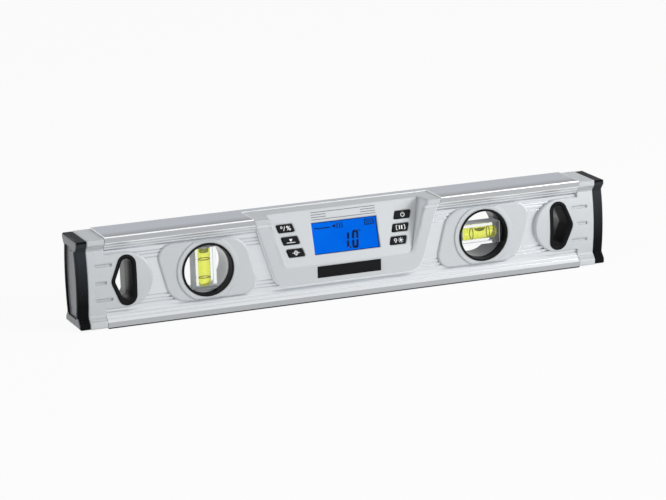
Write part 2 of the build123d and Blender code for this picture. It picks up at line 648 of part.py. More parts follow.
def make_rear_cover():
    """Rear cover: a plate on the web with the battery tray behind its door opening."""
    plate = span(cover_outline(), WEB_HALF, COVER_FACE)
    plate = chamfer(plate.edges().group_by(Axis.Y)[-1], COVER_EDGE)
    tray_z = (TRAY_BOTTOM, TRAY_BOTTOM + TRAY_HEIGHT + 2 * TRAY_WALL)
    tray_x = (-TRAY_OUTER, TRAY_OUTER)
    plate -= box_between(tray_x, (DOOR_BACK, DEPTH), tray_z)
    cover = plate + box_between(tray_x, (TRAY_FLOOR - TRAY_WALL, DOOR_BACK), tray_z)
    cover -= box_between((-TRAY_HALF, TRAY_HALF), (TRAY_FLOOR, DEPTH),
                         (tray_z[0] + TRAY_WALL, tray_z[1] - TRAY_WALL))
    thumb_z = DOOR_BOTTOM + DOOR_TALL
    cover -= box_between((-THUMB_WIDTH / 2, THUMB_WIDTH / 2), (COVER_FACE - THUMB_DEPTH, DEPTH),
                         (thumb_z, thumb_z + THUMB_HEIGHT))
    pin_half = DOOR_HALF + DOOR_PIN_LENGTH + SLIDE_FIT
    cover -= Pos(0, *DOOR_AXIS) * Rot(0, 90, 0) * Cylinder(DOOR_PIN_RADIUS + FIT, 2 * pin_half)
    for x, z in screw_places():
        cover -= rod(x, z, SCREW_RADIUS + FIT, 0, DEPTH)
        cover -= rod(x, z, SCREW_HEAD_RADIUS + FIT, COVER_FACE - SCREW_HEAD, DEPTH)
    return cover


def make_battery_door():
    """Battery door with a round lower edge and two hinge pins."""
    door_z = (DOOR_AXIS[1], DOOR_BOTTOM + DOOR_TALL)
    door = box_between((-DOOR_HALF, DOOR_HALF), (DOOR_BACK, COVER_FACE), door_z)
    door += Pos(0, *DOOR_AXIS) * Rot(0, 90, 0) * Cylinder(DOOR_THICK / 2, 2 * DOOR_HALF)
    pins = 2 * (DOOR_HALF + DOOR_PIN_LENGTH)
    return door + Pos(0, *DOOR_AXIS) * Rot(0, 90, 0) * Cylinder(DOOR_PIN_RADIUS, pins)


def cell_turns():
    """Height of each cell and which way its nub points."""
    step = CELL_RADIUS + CELL_GAP / 2
    return {"battery_upper": (TRAY_MIDDLE + step, 1), "battery_lower": (TRAY_MIDDLE - step, -1)}


def make_cell(z, way):
    """AAA cell with its nub towards way."""
    can = Cylinder(CELL_RADIUS, CELL_LENGTH)
    nub = Pos(0, 0, (CELL_LENGTH + CELL_NUB) / 2) * Cylinder(CELL_NUB_RADIUS, CELL_NUB)
    nub_end = TRAY_HALF - CONTACT_THICK
    return Pos(way * (nub_end - CELL_NUB - CELL_LENGTH / 2), CELL_Y, z) * Rot(0, 90 * way, 0) * (can + nub)


def make_contacts():
    """Flat contacts at the nubs and bent leaf springs at the other ends of the cells."""
    contacts = []
    half = CONTACT_SIDE / 2
    for z, way in cell_turns().values():
        flat = Box(CONTACT_THICK, CONTACT_SIDE, CONTACT_SIDE)
        contacts.append(Pos(way * (TRAY_HALF - CONTACT_THICK / 2), CELL_Y, z) * flat)
        bend = [(0, -half), (SPRING_REACH, 0), (0, half)]
        front = [(x + CONTACT_THICK, y) for x, y in bend]
        leaf = make_face(Polyline(*bend, *reversed(front), close=True))
        leaf += Pos(CONTACT_THICK / 2, 0) * Rectangle(CONTACT_THICK, CONTACT_SIDE)
        spring = extrude(leaf, amount=SPRING_WIDTH / 2, both=True)
        turn = Rot(0, 0, 0) if way > 0 else Rot(0, 0, 180)
        contacts.append(Pos(-way * TRAY_HALF, CELL_Y, z) * turn * spring)
    return Part() + contacts


def make_cover_screws():
    """Four screws from the rear cover into the display housing."""
    screws = []
    neck = COVER_FACE - SCREW_HEAD
    for x, z in screw_places():
        head = rod(x, z, SCREW_HEAD_RADIUS, neck, COVER_FACE)
        screws.append(head + rod(x, z, SCREW_RADIUS, COVER_FACE - SCREW_LENGTH, neck))
    return Part() + screws


def both_faces(name, front):
    """A piece on the front and its mirror image on the rear."""
    return {name + "_front": front, name + "_rear": mirror(front, about=Plane.XZ)}


def both_ends(name, right):
    """A piece at the right end and its mirror image at the left end."""
    return {name + "_right": right, name + "_left": mirror(right, about=Plane.YZ)}


def make_ends():
    """Housings, caps and hand-hole liners of both ends."""
    parts = both_ends("end_housing", make_end_housing())
    parts |= both_ends("end_cap", make_end_cap())
    for name, liner in both_ends("grip_liner", make_liner()).items():
        parts |= both_faces(name, liner)
    return parts


def make_windows():
    """Everything in and around the two vial windows."""
    parts = {}
    inside = {
        "plumb": (-1, make_plumb_fluid(), make_plumb_bubble()),
        "level": (1, make_level_fluid(), make_level_bubble()),
    }
    for name, (side, fluid, bubble) in inside.items():
        parts |= both_faces(name + "_plate", make_plate(side))
        parts |= both_faces(name + "_ring", make_ring(side))
        parts[name + "_barrel"] = make_barrel(side)
        contents = {"vial": make_vial(), "plug": make_plug(), "lines": make_lines()}
        contents |= {"fluid": fluid, "bubble": bubble}
        for piece, shape in contents.items():
            parts[name + "_" + piece] = place_vial(side) * shape
    return parts


def make_display():
    """Display housing with what it holds, and the keys."""
    glass_width = DISPLAY_WIDTH + 2 * GLASS_MARGIN
    glass_tall = DISPLAY_HEIGHT + 2 * GLASS_MARGIN
    glass_back = -SHELL_WALL - GLASS_THICK
    window_width = DISPLAY_WIDTH - 2 * FIT
    window_tall = DISPLAY_HEIGHT - 2 * FIT
    board_tall = BOARD_HIGH - BOARD_LOW
    board_middle = BOARD_LOW + board_tall / 2
    board_back = -BOARD_FRONT - BOARD_THICK
    parts = {
        "display_housing": make_display_housing(),
        "name_plate": make_badge(),
        "display_window": make_layer(window_width, window_tall, DISPLAY_MIDDLE, -FIT, -SHELL_WALL),
        "lcd_panel": make_layer(glass_width, glass_tall, DISPLAY_MIDDLE, -SHELL_WALL, glass_back),
        "backlight": make_layer(glass_width, glass_tall, DISPLAY_MIDDLE, glass_back, -BOARD_FRONT),
        "circuit_board": make_layer(BOARD_WIDTH, board_tall, board_middle, -BOARD_FRONT, board_back),
        "key_switches": make_switches(),
        "controller_chip": on_board(CHIP_PLACE, Box(CHIP_SIDE, CHIP_SIDE, CHIP_THICK), CHIP_THICK),
        "tilt_sensor": on_board(SENSOR_PLACE, Box(SENSOR_SIDE, SENSOR_SIDE, SENSOR_THICK), SENSOR_THICK),
        "buzzer": on_board(BUZZER_PLACE, Cylinder(BUZZER_RADIUS, BUZZER_THICK), BUZZER_THICK),
    }
    names = {-1: ("calibrate", "reference", "unit"), 1: ("light", "hold", "power")}
    for side, words in names.items():
        for row, word in enumerate(words):
            parts["key_" + word] = make_key(side, row)
    return parts


def make_rear():
    """Rear cover, battery door, cells, contacts and cover screws."""
    parts = {
        "rear_cover": make_rear_cover(),
        "battery_door": make_battery_door(),
        "battery_contacts": make_contacts(),
        "cover_screws": make_cover_screws(),
    }
    for name, (z, way) in cell_turns().items():
        parts[name] = make_cell(z, way)
    return parts


def main():
    os.makedirs("parts", exist_ok=True)
    parts = {"aluminium_profile": make_profile()}
    parts |= make_ends() | make_windows() | make_display() | make_rear()
    for name, shape in parts.items():
        export_step(shape, os.path.join("parts", name + ".step"))
    print(len(parts), "pieces written")


main()
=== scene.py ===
# %% [markdown]
# # A digital spirit level
# The bar is an aluminium extrusion with plastic ends, two round vial windows and a leaning display
# with six keys. Its solid pieces come from a CAD model. This lesson gives them their finishes and adds
# what is too fine or too soft for CAD: print, symbols, liquid, bubbles and screw heads.

# %% Load the model
import json
from math import acos, cos, degrees, pi, radians, sin

import bpy
from mathutils import Matrix, Vector

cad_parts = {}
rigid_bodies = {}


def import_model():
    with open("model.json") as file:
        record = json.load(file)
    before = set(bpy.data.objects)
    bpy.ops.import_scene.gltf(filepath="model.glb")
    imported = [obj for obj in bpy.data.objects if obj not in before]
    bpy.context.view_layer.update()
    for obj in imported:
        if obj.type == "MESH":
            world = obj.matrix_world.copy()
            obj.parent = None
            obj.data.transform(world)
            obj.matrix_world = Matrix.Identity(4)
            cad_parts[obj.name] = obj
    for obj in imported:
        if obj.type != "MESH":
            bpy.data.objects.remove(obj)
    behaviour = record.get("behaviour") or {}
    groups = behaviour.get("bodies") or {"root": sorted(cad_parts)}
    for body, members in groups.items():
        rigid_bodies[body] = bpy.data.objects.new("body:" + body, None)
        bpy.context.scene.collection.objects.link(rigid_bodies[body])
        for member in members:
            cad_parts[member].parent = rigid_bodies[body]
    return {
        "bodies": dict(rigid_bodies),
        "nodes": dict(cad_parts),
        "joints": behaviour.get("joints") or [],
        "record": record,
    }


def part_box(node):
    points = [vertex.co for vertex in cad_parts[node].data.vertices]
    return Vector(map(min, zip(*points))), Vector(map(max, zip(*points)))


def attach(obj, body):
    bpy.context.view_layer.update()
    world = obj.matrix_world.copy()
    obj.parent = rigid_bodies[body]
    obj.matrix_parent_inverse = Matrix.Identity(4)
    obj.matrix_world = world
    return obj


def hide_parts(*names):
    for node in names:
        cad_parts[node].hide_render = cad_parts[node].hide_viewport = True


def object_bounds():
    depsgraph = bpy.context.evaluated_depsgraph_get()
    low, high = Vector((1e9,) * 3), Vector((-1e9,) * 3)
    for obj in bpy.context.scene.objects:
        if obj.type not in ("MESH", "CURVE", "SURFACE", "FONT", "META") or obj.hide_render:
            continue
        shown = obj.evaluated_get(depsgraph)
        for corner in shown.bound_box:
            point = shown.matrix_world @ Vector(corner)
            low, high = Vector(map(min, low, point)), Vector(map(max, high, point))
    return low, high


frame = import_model()
nodes = frame["nodes"]
cad_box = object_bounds()
MM = 0.001
print(len(nodes), "CAD pieces, box in mm:", [[round(c / MM, 1) for c in corner] for corner in cad_box])

# %% [markdown]
# ## Camera
# The photograph was taken from the left and a little above, through a long lens, so the bar hardly
# narrows with distance. A camera could be aimed with a constraint, but its place and its three angles,
# found by fitting the bar's corners, put every edge where the photograph has it.

# %% Camera
CAMERA_PLACE = Vector((-760.037, -1926.312, 546.655)) * MM
CAMERA_AZIMUTH = radians(-21.3717)
CAMERA_ELEVATION = radians(13.978)
CAMERA_ROLL = radians(-1.7311)
SENSOR_WIDTH = 36.0
FOCAL_WIDTHS = 4.49909  # focal length in picture widths

back = Vector((sin(CAMERA_AZIMUTH) * cos(CAMERA_ELEVATION),
               -cos(CAMERA_AZIMUTH) * cos(CAMERA_ELEVATION),
               sin(CAMERA_ELEVATION)))
right = Vector((0, 0, 1)).cross(back).normalized()
axes = Matrix((right, back.cross(right), back)).transposed().to_4x4()
bpy.ops.object.camera_add()
camera = bpy.context.object
camera.name = "camera"
camera.data.sensor_fit = "HORIZONTAL"
camera.data.sensor_width = SENSOR_WIDTH
camera.data.lens = SENSOR_WIDTH * FOCAL_WIDTHS
camera.matrix_world = Matrix.Translation(CAMERA_PLACE) @ axes @ Matrix.Rotation(CAMERA_ROLL, 4, "Z")
bpy.context.scene.camera = camera
print("lens in mm:", round(camera.data.lens, 1))

# %% [markdown]
# ## Colours and nodes
# Colours are given as sRGB codes, but a shader reckons in linear light, so one function turns
# the one into the other. Nodes could be wired by hand in the shader editor. Here one small function adds
# a node with its settings and links, and each finish below reads as a short list of nodes.

# %% Colour and node helpers
def colour(code):
    """Turn an sRGB hex code into a linear colour."""
    parts = [int(code[start:start + 2], 16) / 255 for start in (1, 3, 5)]
    linear = [part / 12.92 if part <= 0.04045 else ((part + 0.055) / 1.055) ** 2.4 for part in parts]
    return (*linear, 1.0)


def set_up(node, settings):
    """Set a node's properties and sockets, and link each socket that is given a node or an output."""
    for name, value in settings.items():
        if isinstance(value, bpy.types.Node):
            value = value.outputs[0]
        if isinstance(value, bpy.types.NodeSocket):
            node.id_data.links.new(value, node.inputs[name])
        elif isinstance(name, int) or name in node.inputs:
            node.inputs[name].default_value = value
        else:
            setattr(node, name, value)
    return node


def add_node(material, kind, settings=()):
    """Add a shader node with its settings and links."""
    return set_up(material.node_tree.nodes.new(kind), dict(settings))


def shader_of(material):
    """Give the main shader of a material."""
    return material.node_tree.nodes["Principled BSDF"]


def new_material(name, settings=()):
    """Make a material whose main shader has the given settings."""
    material = bpy.data.materials.new(name)
    material.use_nodes = True
    set_up(shader_of(material), dict(settings))
    return material


print("colour #808080 is", round(colour("#808080")[0], 3), "in linear light")

# %% [markdown]
# ## Studio
# The bar lies on a pale sheet in soft light from all round, as in a product shot. The sheet could be
# lit until it is white, but that would wash out the bar as well. Instead it and the world glow white
# only for the camera, for mirrors and for glass, and the lamps stay at a plain level.

# %% Floor
FLOOR_SIZE = 12.0  # m
FLOOR_GAP = 0.1 * MM  # the floor lies this far below the bar
FLOOR_GLOW = 0.92
WHITE = (1, 1, 1, 1)

bpy.ops.object.select_all(action="DESELECT")
bpy.ops.mesh.primitive_plane_add(size=FLOOR_SIZE, location=(0, 0, cad_box[0].z - FLOOR_GAP))
floor = bpy.context.object
floor.name = "floor"
bpy.ops.object.transform_apply(location=True)


def seen_directly(material):
    """Give 1 for rays that show the background itself: from the camera, a mirror or glass."""
    path = add_node(material, "ShaderNodeLightPath")
    seen = path.outputs["Is Camera Ray"]
    for ray in ("Is Glossy Ray", "Is Transmission Ray"):
        seen = add_node(material, "ShaderNodeMath", {"operation": "MAXIMUM", 0: seen, 1: path.outputs[ray]})
    return seen


# Uncoated studio paper: pale and matt, and white where it is seen directly.
paper = new_material("pale_studio_paper", {"Base Color": colour("#f4f4f4"), "Roughness": 0.9})
share = add_node(paper, "ShaderNodeMath", {"operation": "MULTIPLY", 0: seen_directly(paper), 1: FLOOR_GLOW})
glow = add_node(paper, "ShaderNodeEmission", {"Color": WHITE, "Strength": 1.0})
paper_mix = add_node(paper, "ShaderNodeMixShader", {0: share, 1: shader_of(paper), 2: glow})
set_up(paper.node_tree.nodes["Material Output"], {"Surface": paper_mix})
floor.data.materials.append(paper)
print("floor of", FLOOR_SIZE, "m")

# %% World
WORLD_LEVEL = 0.35
world = bpy.data.worlds.new("studio")
world.use_nodes = True
bpy.context.scene.world = world
level = add_node(world, "ShaderNodeMapRange",
                 {"To Min": WORLD_LEVEL, "To Max": 1.0, "Value": seen_directly(world)})
set_up(world.node_tree.nodes["Background"], {"Color": WHITE, "Strength": level})
bpy.context.scene.view_settings.view_transform = "Standard"
print("world lights the bar at", WORLD_LEVEL)

# %% Lamps
LAMPS = {  # place and width in m, power in watts
    "key_softbox": ((1.5, -1.2, 0.7), 1.0, 29.5),
    "fill_softbox": ((-1.4, -0.7, 1.1), 1.4, 6.5),
}
for name, (place, width, power) in LAMPS.items():
    bpy.ops.object.light_add(type="AREA", location=place)
    lamp = bpy.context.object
    lamp.name = name
    lamp.data.size = width
    lamp.data.energy = power
    lamp.rotation_euler = Vector(place).to_track_quat("Z", "Y").to_euler()
print(len(LAMPS), "lamps")

# %% [markdown]
# ## Moulded finishes
# Moulded plastic is never quite even: its mould was spark-eroded, which leaves a fine grain. A picture of
# such a grain would repeat and blur, but noise of the right size does neither. One function lays it over
# a material as a little change of colour, of gloss and of height. Where the real edges are soft, it
# rounds them in the shading as well.

# %% Grain of moulded pieces
GRAIN_DETAIL = 3.0
GRAIN_STRENGTH = 0.6
EDGE_ROUND = 1.6  # mm, how wide the edges of lacquered pieces look rounded


def lay_grain(material, size, depth, colours, gloss, edge=0.0):
    """Vary colour, gloss and height by noise. Its size and depth and the rounding of edges are in mm."""
    place = add_node(material, "ShaderNodeTexCoord").outputs["Object"]
    grain = add_node(material, "ShaderNodeTexNoise",
                     {"Scale": 1 / (size * MM), "Detail": GRAIN_DETAIL, "Vector": place}).outputs["Fac"]
    tint = add_node(material, "ShaderNodeMix",
                    {"data_type": "RGBA", 0: grain, 6: colour(colours[0]), 7: colour(colours[1])})
    rough = add_node(material, "ShaderNodeMapRange",
                     {"To Min": gloss[0], "To Max": gloss[1], "Value": grain})
    bump = add_node(material, "ShaderNodeBump",
                    {"Strength": GRAIN_STRENGTH, "Distance": depth * MM, "Height": grain})
    if edge:
        set_up(bump, {"Normal": add_node(material, "ShaderNodeBevel", {"Radius": edge * MM})})
    set_up(shader_of(material), {"Base Color": tint.outputs[2], "Roughness": rough, "Normal": bump})


# Aluminium-coloured lacquer on moulded ABS: an even pale silver with a soft sheen.
silver_abs = new_material("silver_lacquered_abs", {"Metallic": 0.1})
lay_grain(silver_abs, 0.5, 0.006, ("#c2c6c9", "#ced2d5"), (0.42, 0.52), EDGE_ROUND)
print("lacquered edges look rounded by", EDGE_ROUND, "mm")

# %% [markdown]
# ## Lacquer of the display housing
# The recess round the display has upper edges that are rolled over widely. In the CAD model they are
# sharp, so the shading rounds them: near the walls of the recess the radius grows. The wall that looks
# left also gets painted light, paler from its foot to its rim, where the rolled edge would catch light,
# and the pad's underside gets painted light too, as it faces the pale slope below it.

# %% Rolled edges of the recess
RECESS_ROUND = 8.0 * MM
RECESS_REACH = 3.2 * MM  # the wide rounding fades out this far to both sides of a wall's foot
RECESS_SIDE = 43.2 * MM  # where the walls would meet the bar's foot, from the middle
RECESS_LEAN = 0.255  # how far the walls lean outward for each step up
CREASE_HEIGHT = 26.5 * MM  # the panel meets the pad's front at this height


def place_axes(material):
    """Give the outputs for a point's X, Y and Z on its piece."""
    place = add_node(material, "ShaderNodeTexCoord").outputs["Object"]
    return add_node(material, "ShaderNodeSeparateXYZ", {0: place}).outputs


# The same lacquer on the display housing: silver that bends softly over the edges of the recess.
rolled_abs = silver_abs.copy()
rolled_abs.name = "silver_lacquered_rolled_abs"
rolled_axes = place_axes(rolled_abs)
lean = add_node(rolled_abs, "ShaderNodeMath",
                {"operation": "MULTIPLY", 0: rolled_axes["Z"], 1: RECESS_LEAN})
off_wall = rolled_axes["X"]
for step, by in (("ABSOLUTE", 0.0), ("SUBTRACT", lean), ("SUBTRACT", RECESS_SIDE), ("ABSOLUTE", 0.0)):
    off_wall = add_node(rolled_abs, "ShaderNodeMath", {"operation": step, 0: off_wall, 1: by})
below_crease = add_node(rolled_abs, "ShaderNodeMath",
                        {"operation": "SUBTRACT", 0: CREASE_HEIGHT, 1: rolled_axes["Z"]})
off_recess = add_node(rolled_abs, "ShaderNodeMath", {"operation": "MAXIMUM", 0: off_wall, 1: below_crease})
roll = add_node(rolled_abs, "ShaderNodeMapRange",
                {"From Max": RECESS_REACH, "To Min": RECESS_ROUND, "To Max": EDGE_ROUND * MM,
                 "Value": off_recess})
rolled_edges = next(node for node in rolled_abs.node_tree.nodes if node.bl_idname == "ShaderNodeBevel")
set_up(rolled_edges, {"Radius": roll})
print("edges of the recess look rounded by", round(RECESS_ROUND / MM, 1), "mm")

# %% Painted light on the wall and underside
PAD_FRONT = -15.0 * MM
PANEL_SLOPE = 0.291  # from the crease the panel goes back this far for each step up
PALE_FROM, PALE_TO = 0.85, 0.45  # shares of the wall's depth where the paler tint starts and is full
WALL_BAND = 9.0 * MM  # the wall lies within this distance of the line of its foot
LEFT_NORMAL = -0.5  # a face looks left where the X of its normal is below this
DOWN_NORMAL = -0.2  # a face looks down where the Z of its normal is below this


def fed_by(shader, socket):
    """Give the output that feeds a socket of a shader so far."""
    return shader.inputs[socket].links[0].from_socket


panel_deep, wall_deep = rolled_axes["Z"], rolled_axes["Y"]
for step, by in (("SUBTRACT", CREASE_HEIGHT), ("MULTIPLY", PANEL_SLOPE)):
    panel_deep = add_node(rolled_abs, "ShaderNodeMath", {"operation": step, 0: panel_deep, 1: by})
for step, by in (("SUBTRACT", PAD_FRONT), ("DIVIDE", panel_deep)):
    wall_deep = add_node(rolled_abs, "ShaderNodeMath", {"operation": step, 0: wall_deep, 1: by})
true_normal = add_node(rolled_abs, "ShaderNodeNewGeometry").outputs["True Normal"]
looks = add_node(rolled_abs, "ShaderNodeSeparateXYZ", {0: true_normal}).outputs
# Painted light: the wall that looks left grows paler from its foot towards its rim.
painted_light = add_node(rolled_abs, "ShaderNodeMapRange",
                {"From Min": PALE_FROM, "From Max": PALE_TO, "Value": wall_deep})
for test, tested, limit in (("LESS_THAN", off_wall, WALL_BAND), ("GREATER_THAN", panel_deep, 0.0),
                            ("LESS_THAN", looks["X"], LEFT_NORMAL)):
    passed = add_node(rolled_abs, "ShaderNodeMath", {"operation": test, 0: tested, 1: limit})
    painted_light = add_node(rolled_abs, "ShaderNodeMath", {"operation": "MULTIPLY", 0: painted_light, 1: passed})
# Painted light on the pad's underside, which faces down to the pale slope.
painted_underside_light = add_node(rolled_abs, "ShaderNodeMath",
                     {"operation": "LESS_THAN", 0: looks["Z"], 1: DOWN_NORMAL})
painted_light = add_node(rolled_abs, "ShaderNodeMath", {"operation": "MAXIMUM", 0: painted_light, 1: painted_underside_light})
rolled_shader = shader_of(rolled_abs)
# The painted light mixes a paler silver into the lacquer.
painted_light_tint = add_node(rolled_abs, "ShaderNodeMix",
                     {"data_type": "RGBA", 0: painted_light, 6: fed_by(rolled_shader, "Base Color"),
                      7: colour("#edf2f5")})
set_up(rolled_shader, {"Base Color": painted_light_tint.outputs[2]})
print("the wall is palest over the outer", round(PALE_TO * 100), "percent of its depth")

# %% [markdown]
# ## Elastomer of the end caps
# The end caps are moulded from a soft black elastomer. Painted light makes their sides paler towards the
# top, and a pale painted reflection lies on the outer faces, which are also smoother. This reflection is
# painted where the form says: on the heads at both ends and on the sunk faces between the rims. So
# masks find a point's place on the cap, and the tints follow them.

# %% Masks for outer faces
SKIN = 0.05 * MM  # points this near to an outer face count as lying on it
BLACK_SHEEN = (0.1, 0.1, 0.1, 1.0)  # black mouldings mirror little when seen straight on


def at_faces(material, axis, low, high):
    """Give 1 where a point lies on or past the faces at low or high across an axis."""
    off = place_axes(material)[axis]
    middle, half = (low + high) / 2, (high - low) / 2
    for step, by in (("SUBTRACT", middle), ("ABSOLUTE", 0.0), ("GREATER_THAN", half - SKIN)):
        off = add_node(material, "ShaderNodeMath", {"operation": step, 0: off, 1: by})
    return off


# Soft moulded elastomer: near black and dull.
black_rubber = new_material("moulded_black_elastomer",
                            {"Specular Tint": BLACK_SHEEN, "Specular IOR Level": 0.3})
lay_grain(black_rubber, 0.4, 0.012, ("#0a0b0d", "#111315"), (0.6, 0.7))
print("faces count as outer ones within", round(SKIN / MM, 2), "mm")

# %% Painted light on the sides and painted reflection on the outer faces of the end caps
CAP_LOW, CAP_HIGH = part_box("end_cap_left")
PALE_LOW, PALE_HIGH = 18.0 * MM, 54.0 * MM  # painted light makes the sides paler between these heights
CAP_ROUND = 1.6 * MM  # the upper edge is rounded by this much, and the top stays dark
CAP_HEAD = 7.3 * MM  # heads above and below the sunk outer faces
HEAD_SKIN = 0.4 * MM  # the heads get the painted reflection this far in
RIM_DEPTH = 1.2 * MM  # the rims beside the sunk faces reach in this far and stay dark
SUNK_DEPTH = 1.4 * MM  # the sunk faces lie less than this far in
SUNK_HALF = 11.5 * MM  # half the width of the sunk faces
SHEEN_FACE_ROUGH = 0.25

rubber_height = place_axes(black_rubber)["Z"]
rising = add_node(black_rubber, "ShaderNodeMapRange",
                  {"From Min": PALE_LOW, "From Max": PALE_HIGH, "Value": rubber_height})
below_top = add_node(black_rubber, "ShaderNodeMath",
                     {"operation": "LESS_THAN", 0: rubber_height, 1: CAP_HIGH.z - CAP_ROUND})
# Painted light: the sides grow paler towards the top, but the top itself stays dark.
painted_top_light = add_node(black_rubber, "ShaderNodeMath", {"operation": "MULTIPLY", 0: rising, 1: below_top})
tips, rims, outer = [at_faces(black_rubber, "X", cad_box[0].x + depth, cad_box[1].x - depth)
                     for depth in (HEAD_SKIN, RIM_DEPTH, SUNK_DEPTH)]
head_heights = at_faces(black_rubber, "Z", CAP_LOW.z + CAP_HEAD, CAP_HIGH.z - CAP_HEAD)
heads = add_node(black_rubber, "ShaderNodeMath", {"operation": "MULTIPLY", 0: tips, 1: head_heights})
past_rims = add_node(black_rubber, "ShaderNodeMath", {"operation": "SUBTRACT", 0: outer, 1: rims})
beside_sunk = at_faces(black_rubber, "Y", -SUNK_HALF, SUNK_HALF)
sunk = add_node(black_rubber, "ShaderNodeMath", {"operation": "GREATER_THAN", 0: past_rims, 1: beside_sunk})
# Painted reflection on the heads and the sunk faces, which are also smoother.
painted_sheen_faces = add_node(black_rubber, "ShaderNodeMath", {"operation": "MAXIMUM", 0: heads, 1: sunk})
rubber_shader = shader_of(black_rubber)
rubber_tint = fed_by(rubber_shader, "Base Color")
# Mix in the painted light of the sides and the painted reflection of the outer faces.
for mask, code in ((painted_top_light, "#34373b"), (painted_sheen_faces, "#74777c")):
    rubber_tint = add_node(black_rubber, "ShaderNodeMix",
                           {"data_type": "RGBA", 0: mask, 6: rubber_tint, 7: colour(code)}).outputs[2]
sheen_face_rough = add_node(black_rubber, "ShaderNodeMix",
                      {0: painted_sheen_faces, 2: fed_by(rubber_shader, "Roughness"), 3: SHEEN_FACE_ROUGH})
set_up(rubber_shader, {"Base Color": rubber_tint, "Roughness": sheen_face_rough})
print("end caps", round((CAP_HIGH.z - CAP_LOW.z) / MM, 1), "mm tall")

# %% [markdown]
# ## Rings and liners
# Rings, rims and the bare plate are black ABS, and the rear halves of the hand-hole liners are dark grey.
# One finish for each colour would do, but the photograph shows more inside the holes: shine only in the
# middle of the right one, and a pale strip along the seam of the left front half. Copies of the two
# finishes take these up, by the height or the depth of a point.

# %% Black and dark grey ABS
MATT_LEVEL = 0.12
LINER_ROUND = 2.0  # mm

# Spark-eroded black ABS of rings, rims and bare plate: so matt that it stays black at every angle.
black_abs = new_material("matt_black_abs", {"Specular IOR Level": MATT_LEVEL})
lay_grain(black_abs, 0.3, 0.01, ("#08090a", "#101214"), (0.5, 0.6))

# Dark grey ABS of the rear liners, which show as a paler strip deep in the hand holes.
dark_abs = new_material("moulded_dark_grey_abs")
lay_grain(dark_abs, 0.4, 0.006, ("#44484b", "#505357"), (0.28, 0.36), LINER_ROUND)
print("black and dark grey ABS")

# %% Liners that shine in places
POLISH_REACH = 7.0 * MM  # the shine fades out this far above and below the middle
POLISHED, DULLED = 0.45, 0.05  # specular levels in the middle and beyond that reach
SEAM_PALE = 4.0 * MM  # as pale as the rear half over this depth
SEAM_FADE = 10.0 * MM  # plain black from this depth on
SEAM_CHANGES = {"Specular IOR Level": (MATT_LEVEL, 0.3), "Roughness": (0.55, 0.3)}  # plain, at the seam

# Dark grey ABS of the right rear liner: it shines only in the middle, as if polished by fingers.
polished_abs = dark_abs.copy()
polished_abs.name = "finger_polished_dark_grey_abs"
off_middle = place_axes(polished_abs)["Z"]
for step, by in (("SUBTRACT", (cad_box[0].z + cad_box[1].z) / 2), ("ABSOLUTE", 0.0)):
    off_middle = add_node(polished_abs, "ShaderNodeMath", {"operation": step, 0: off_middle, 1: by})
polish = add_node(polished_abs, "ShaderNodeMapRange",
                  {"From Max": POLISH_REACH, "To Min": POLISHED, "To Max": DULLED, "Value": off_middle})
set_up(shader_of(polished_abs), {"Specular IOR Level": polish})

# Black ABS of the left front liner: paler and smoother towards its seam, as it looks inside that hole.
seam_abs = black_abs.copy()
seam_abs.name = "smooth_seamed_black_abs"
seam_shader = shader_of(seam_abs)
seam_depth = place_axes(seam_abs)["Y"]
at_seam = add_node(seam_abs, "ShaderNodeMath", {"operation": "GREATER_THAN", 0: seam_depth, 1: -SEAM_PALE})
seam_tint = add_node(seam_abs, "ShaderNodeMix",
                     {"data_type": "RGBA", 0: at_seam, 6: fed_by(seam_shader, "Base Color"),
                      7: colour("#44484b")})
set_up(seam_shader, {"Base Color": seam_tint.outputs[2]})
for socket, (plain, smooth) in SEAM_CHANGES.items():
    fade = add_node(seam_abs, "ShaderNodeMapRange",
                    {"From Min": -SEAM_FADE, "From Max": -SEAM_PALE, "To Min": plain, "To Max": smooth,
                     "Value": seam_depth})
    set_up(seam_shader, {socket: fade})
print("liners:", polished_abs.name, "and", seam_abs.name)

# %% [markdown]
# ## Plain finishes
# The rest needs no masks. Keys are moulded in their own grey; the barrels share one grey, darkened by
# painted shade for the level vial. Of the inner pieces only those in the battery tray ever show, when the
# door is open, and one grey for all of them would do. Each still gets the grain of its own material,
# because a flat colour would look like a stand-in.

# %% Keys and barrels
# Charcoal ABS of the keys, spark-eroded to a satin: nearly black, with a faint sheen.
key_abs = new_material("satin_charcoal_abs", {"Specular Tint": BLACK_SHEEN})
lay_grain(key_abs, 0.25, 0.004, ("#141618", "#1e2023"), (0.4, 0.5))

# Pale grey ABS of the plumb vial's barrel and ring: smooth, so it shines where it turns to the light.
grey_abs = new_material("moulded_grey_abs", {"Specular IOR Level": 1.0})
lay_grain(grey_abs, 0.6, 0.004, ("#c6c9cc", "#d0d3d6"), (0.18, 0.26))

# A darker copy of the grey ABS for the level vial's barrel and ring: painted shade, as these look darker
# than the other ones.
shaded_grey_abs = new_material("moulded_grey_abs_painted_shade")
lay_grain(shaded_grey_abs, 0.6, 0.004, ("#4e5154", "#585b5e"), (0.3, 0.4))
print("keys in", key_abs.name, "and barrels in two greys")

# %% Inner pieces, screws and ink
# Black epoxy and plastic of the parts on the circuit board: dull and even.
component = new_material("black_epoxy")
lay_grain(component, 0.3, 0.004, ("#111213", "#1c1d1f"), (0.45, 0.6))

# White diffuser sheet behind the display: bright and without gloss.
diffuser = new_material("white_diffuser_film")
lay_grain(diffuser, 0.2, 0.002, ("#e6e9ee", "#f2f4f7"), (0.5, 0.6))

# Nickel-plated steel of screws and contacts: bright, with a faint mottle.
plated_steel = new_material("nickel_plated_steel", {"Metallic": 1.0})
lay_grain(plated_steel, 0.35, 0.003, ("#b4b4b0", "#c8c8c4"), (0.22, 0.36))

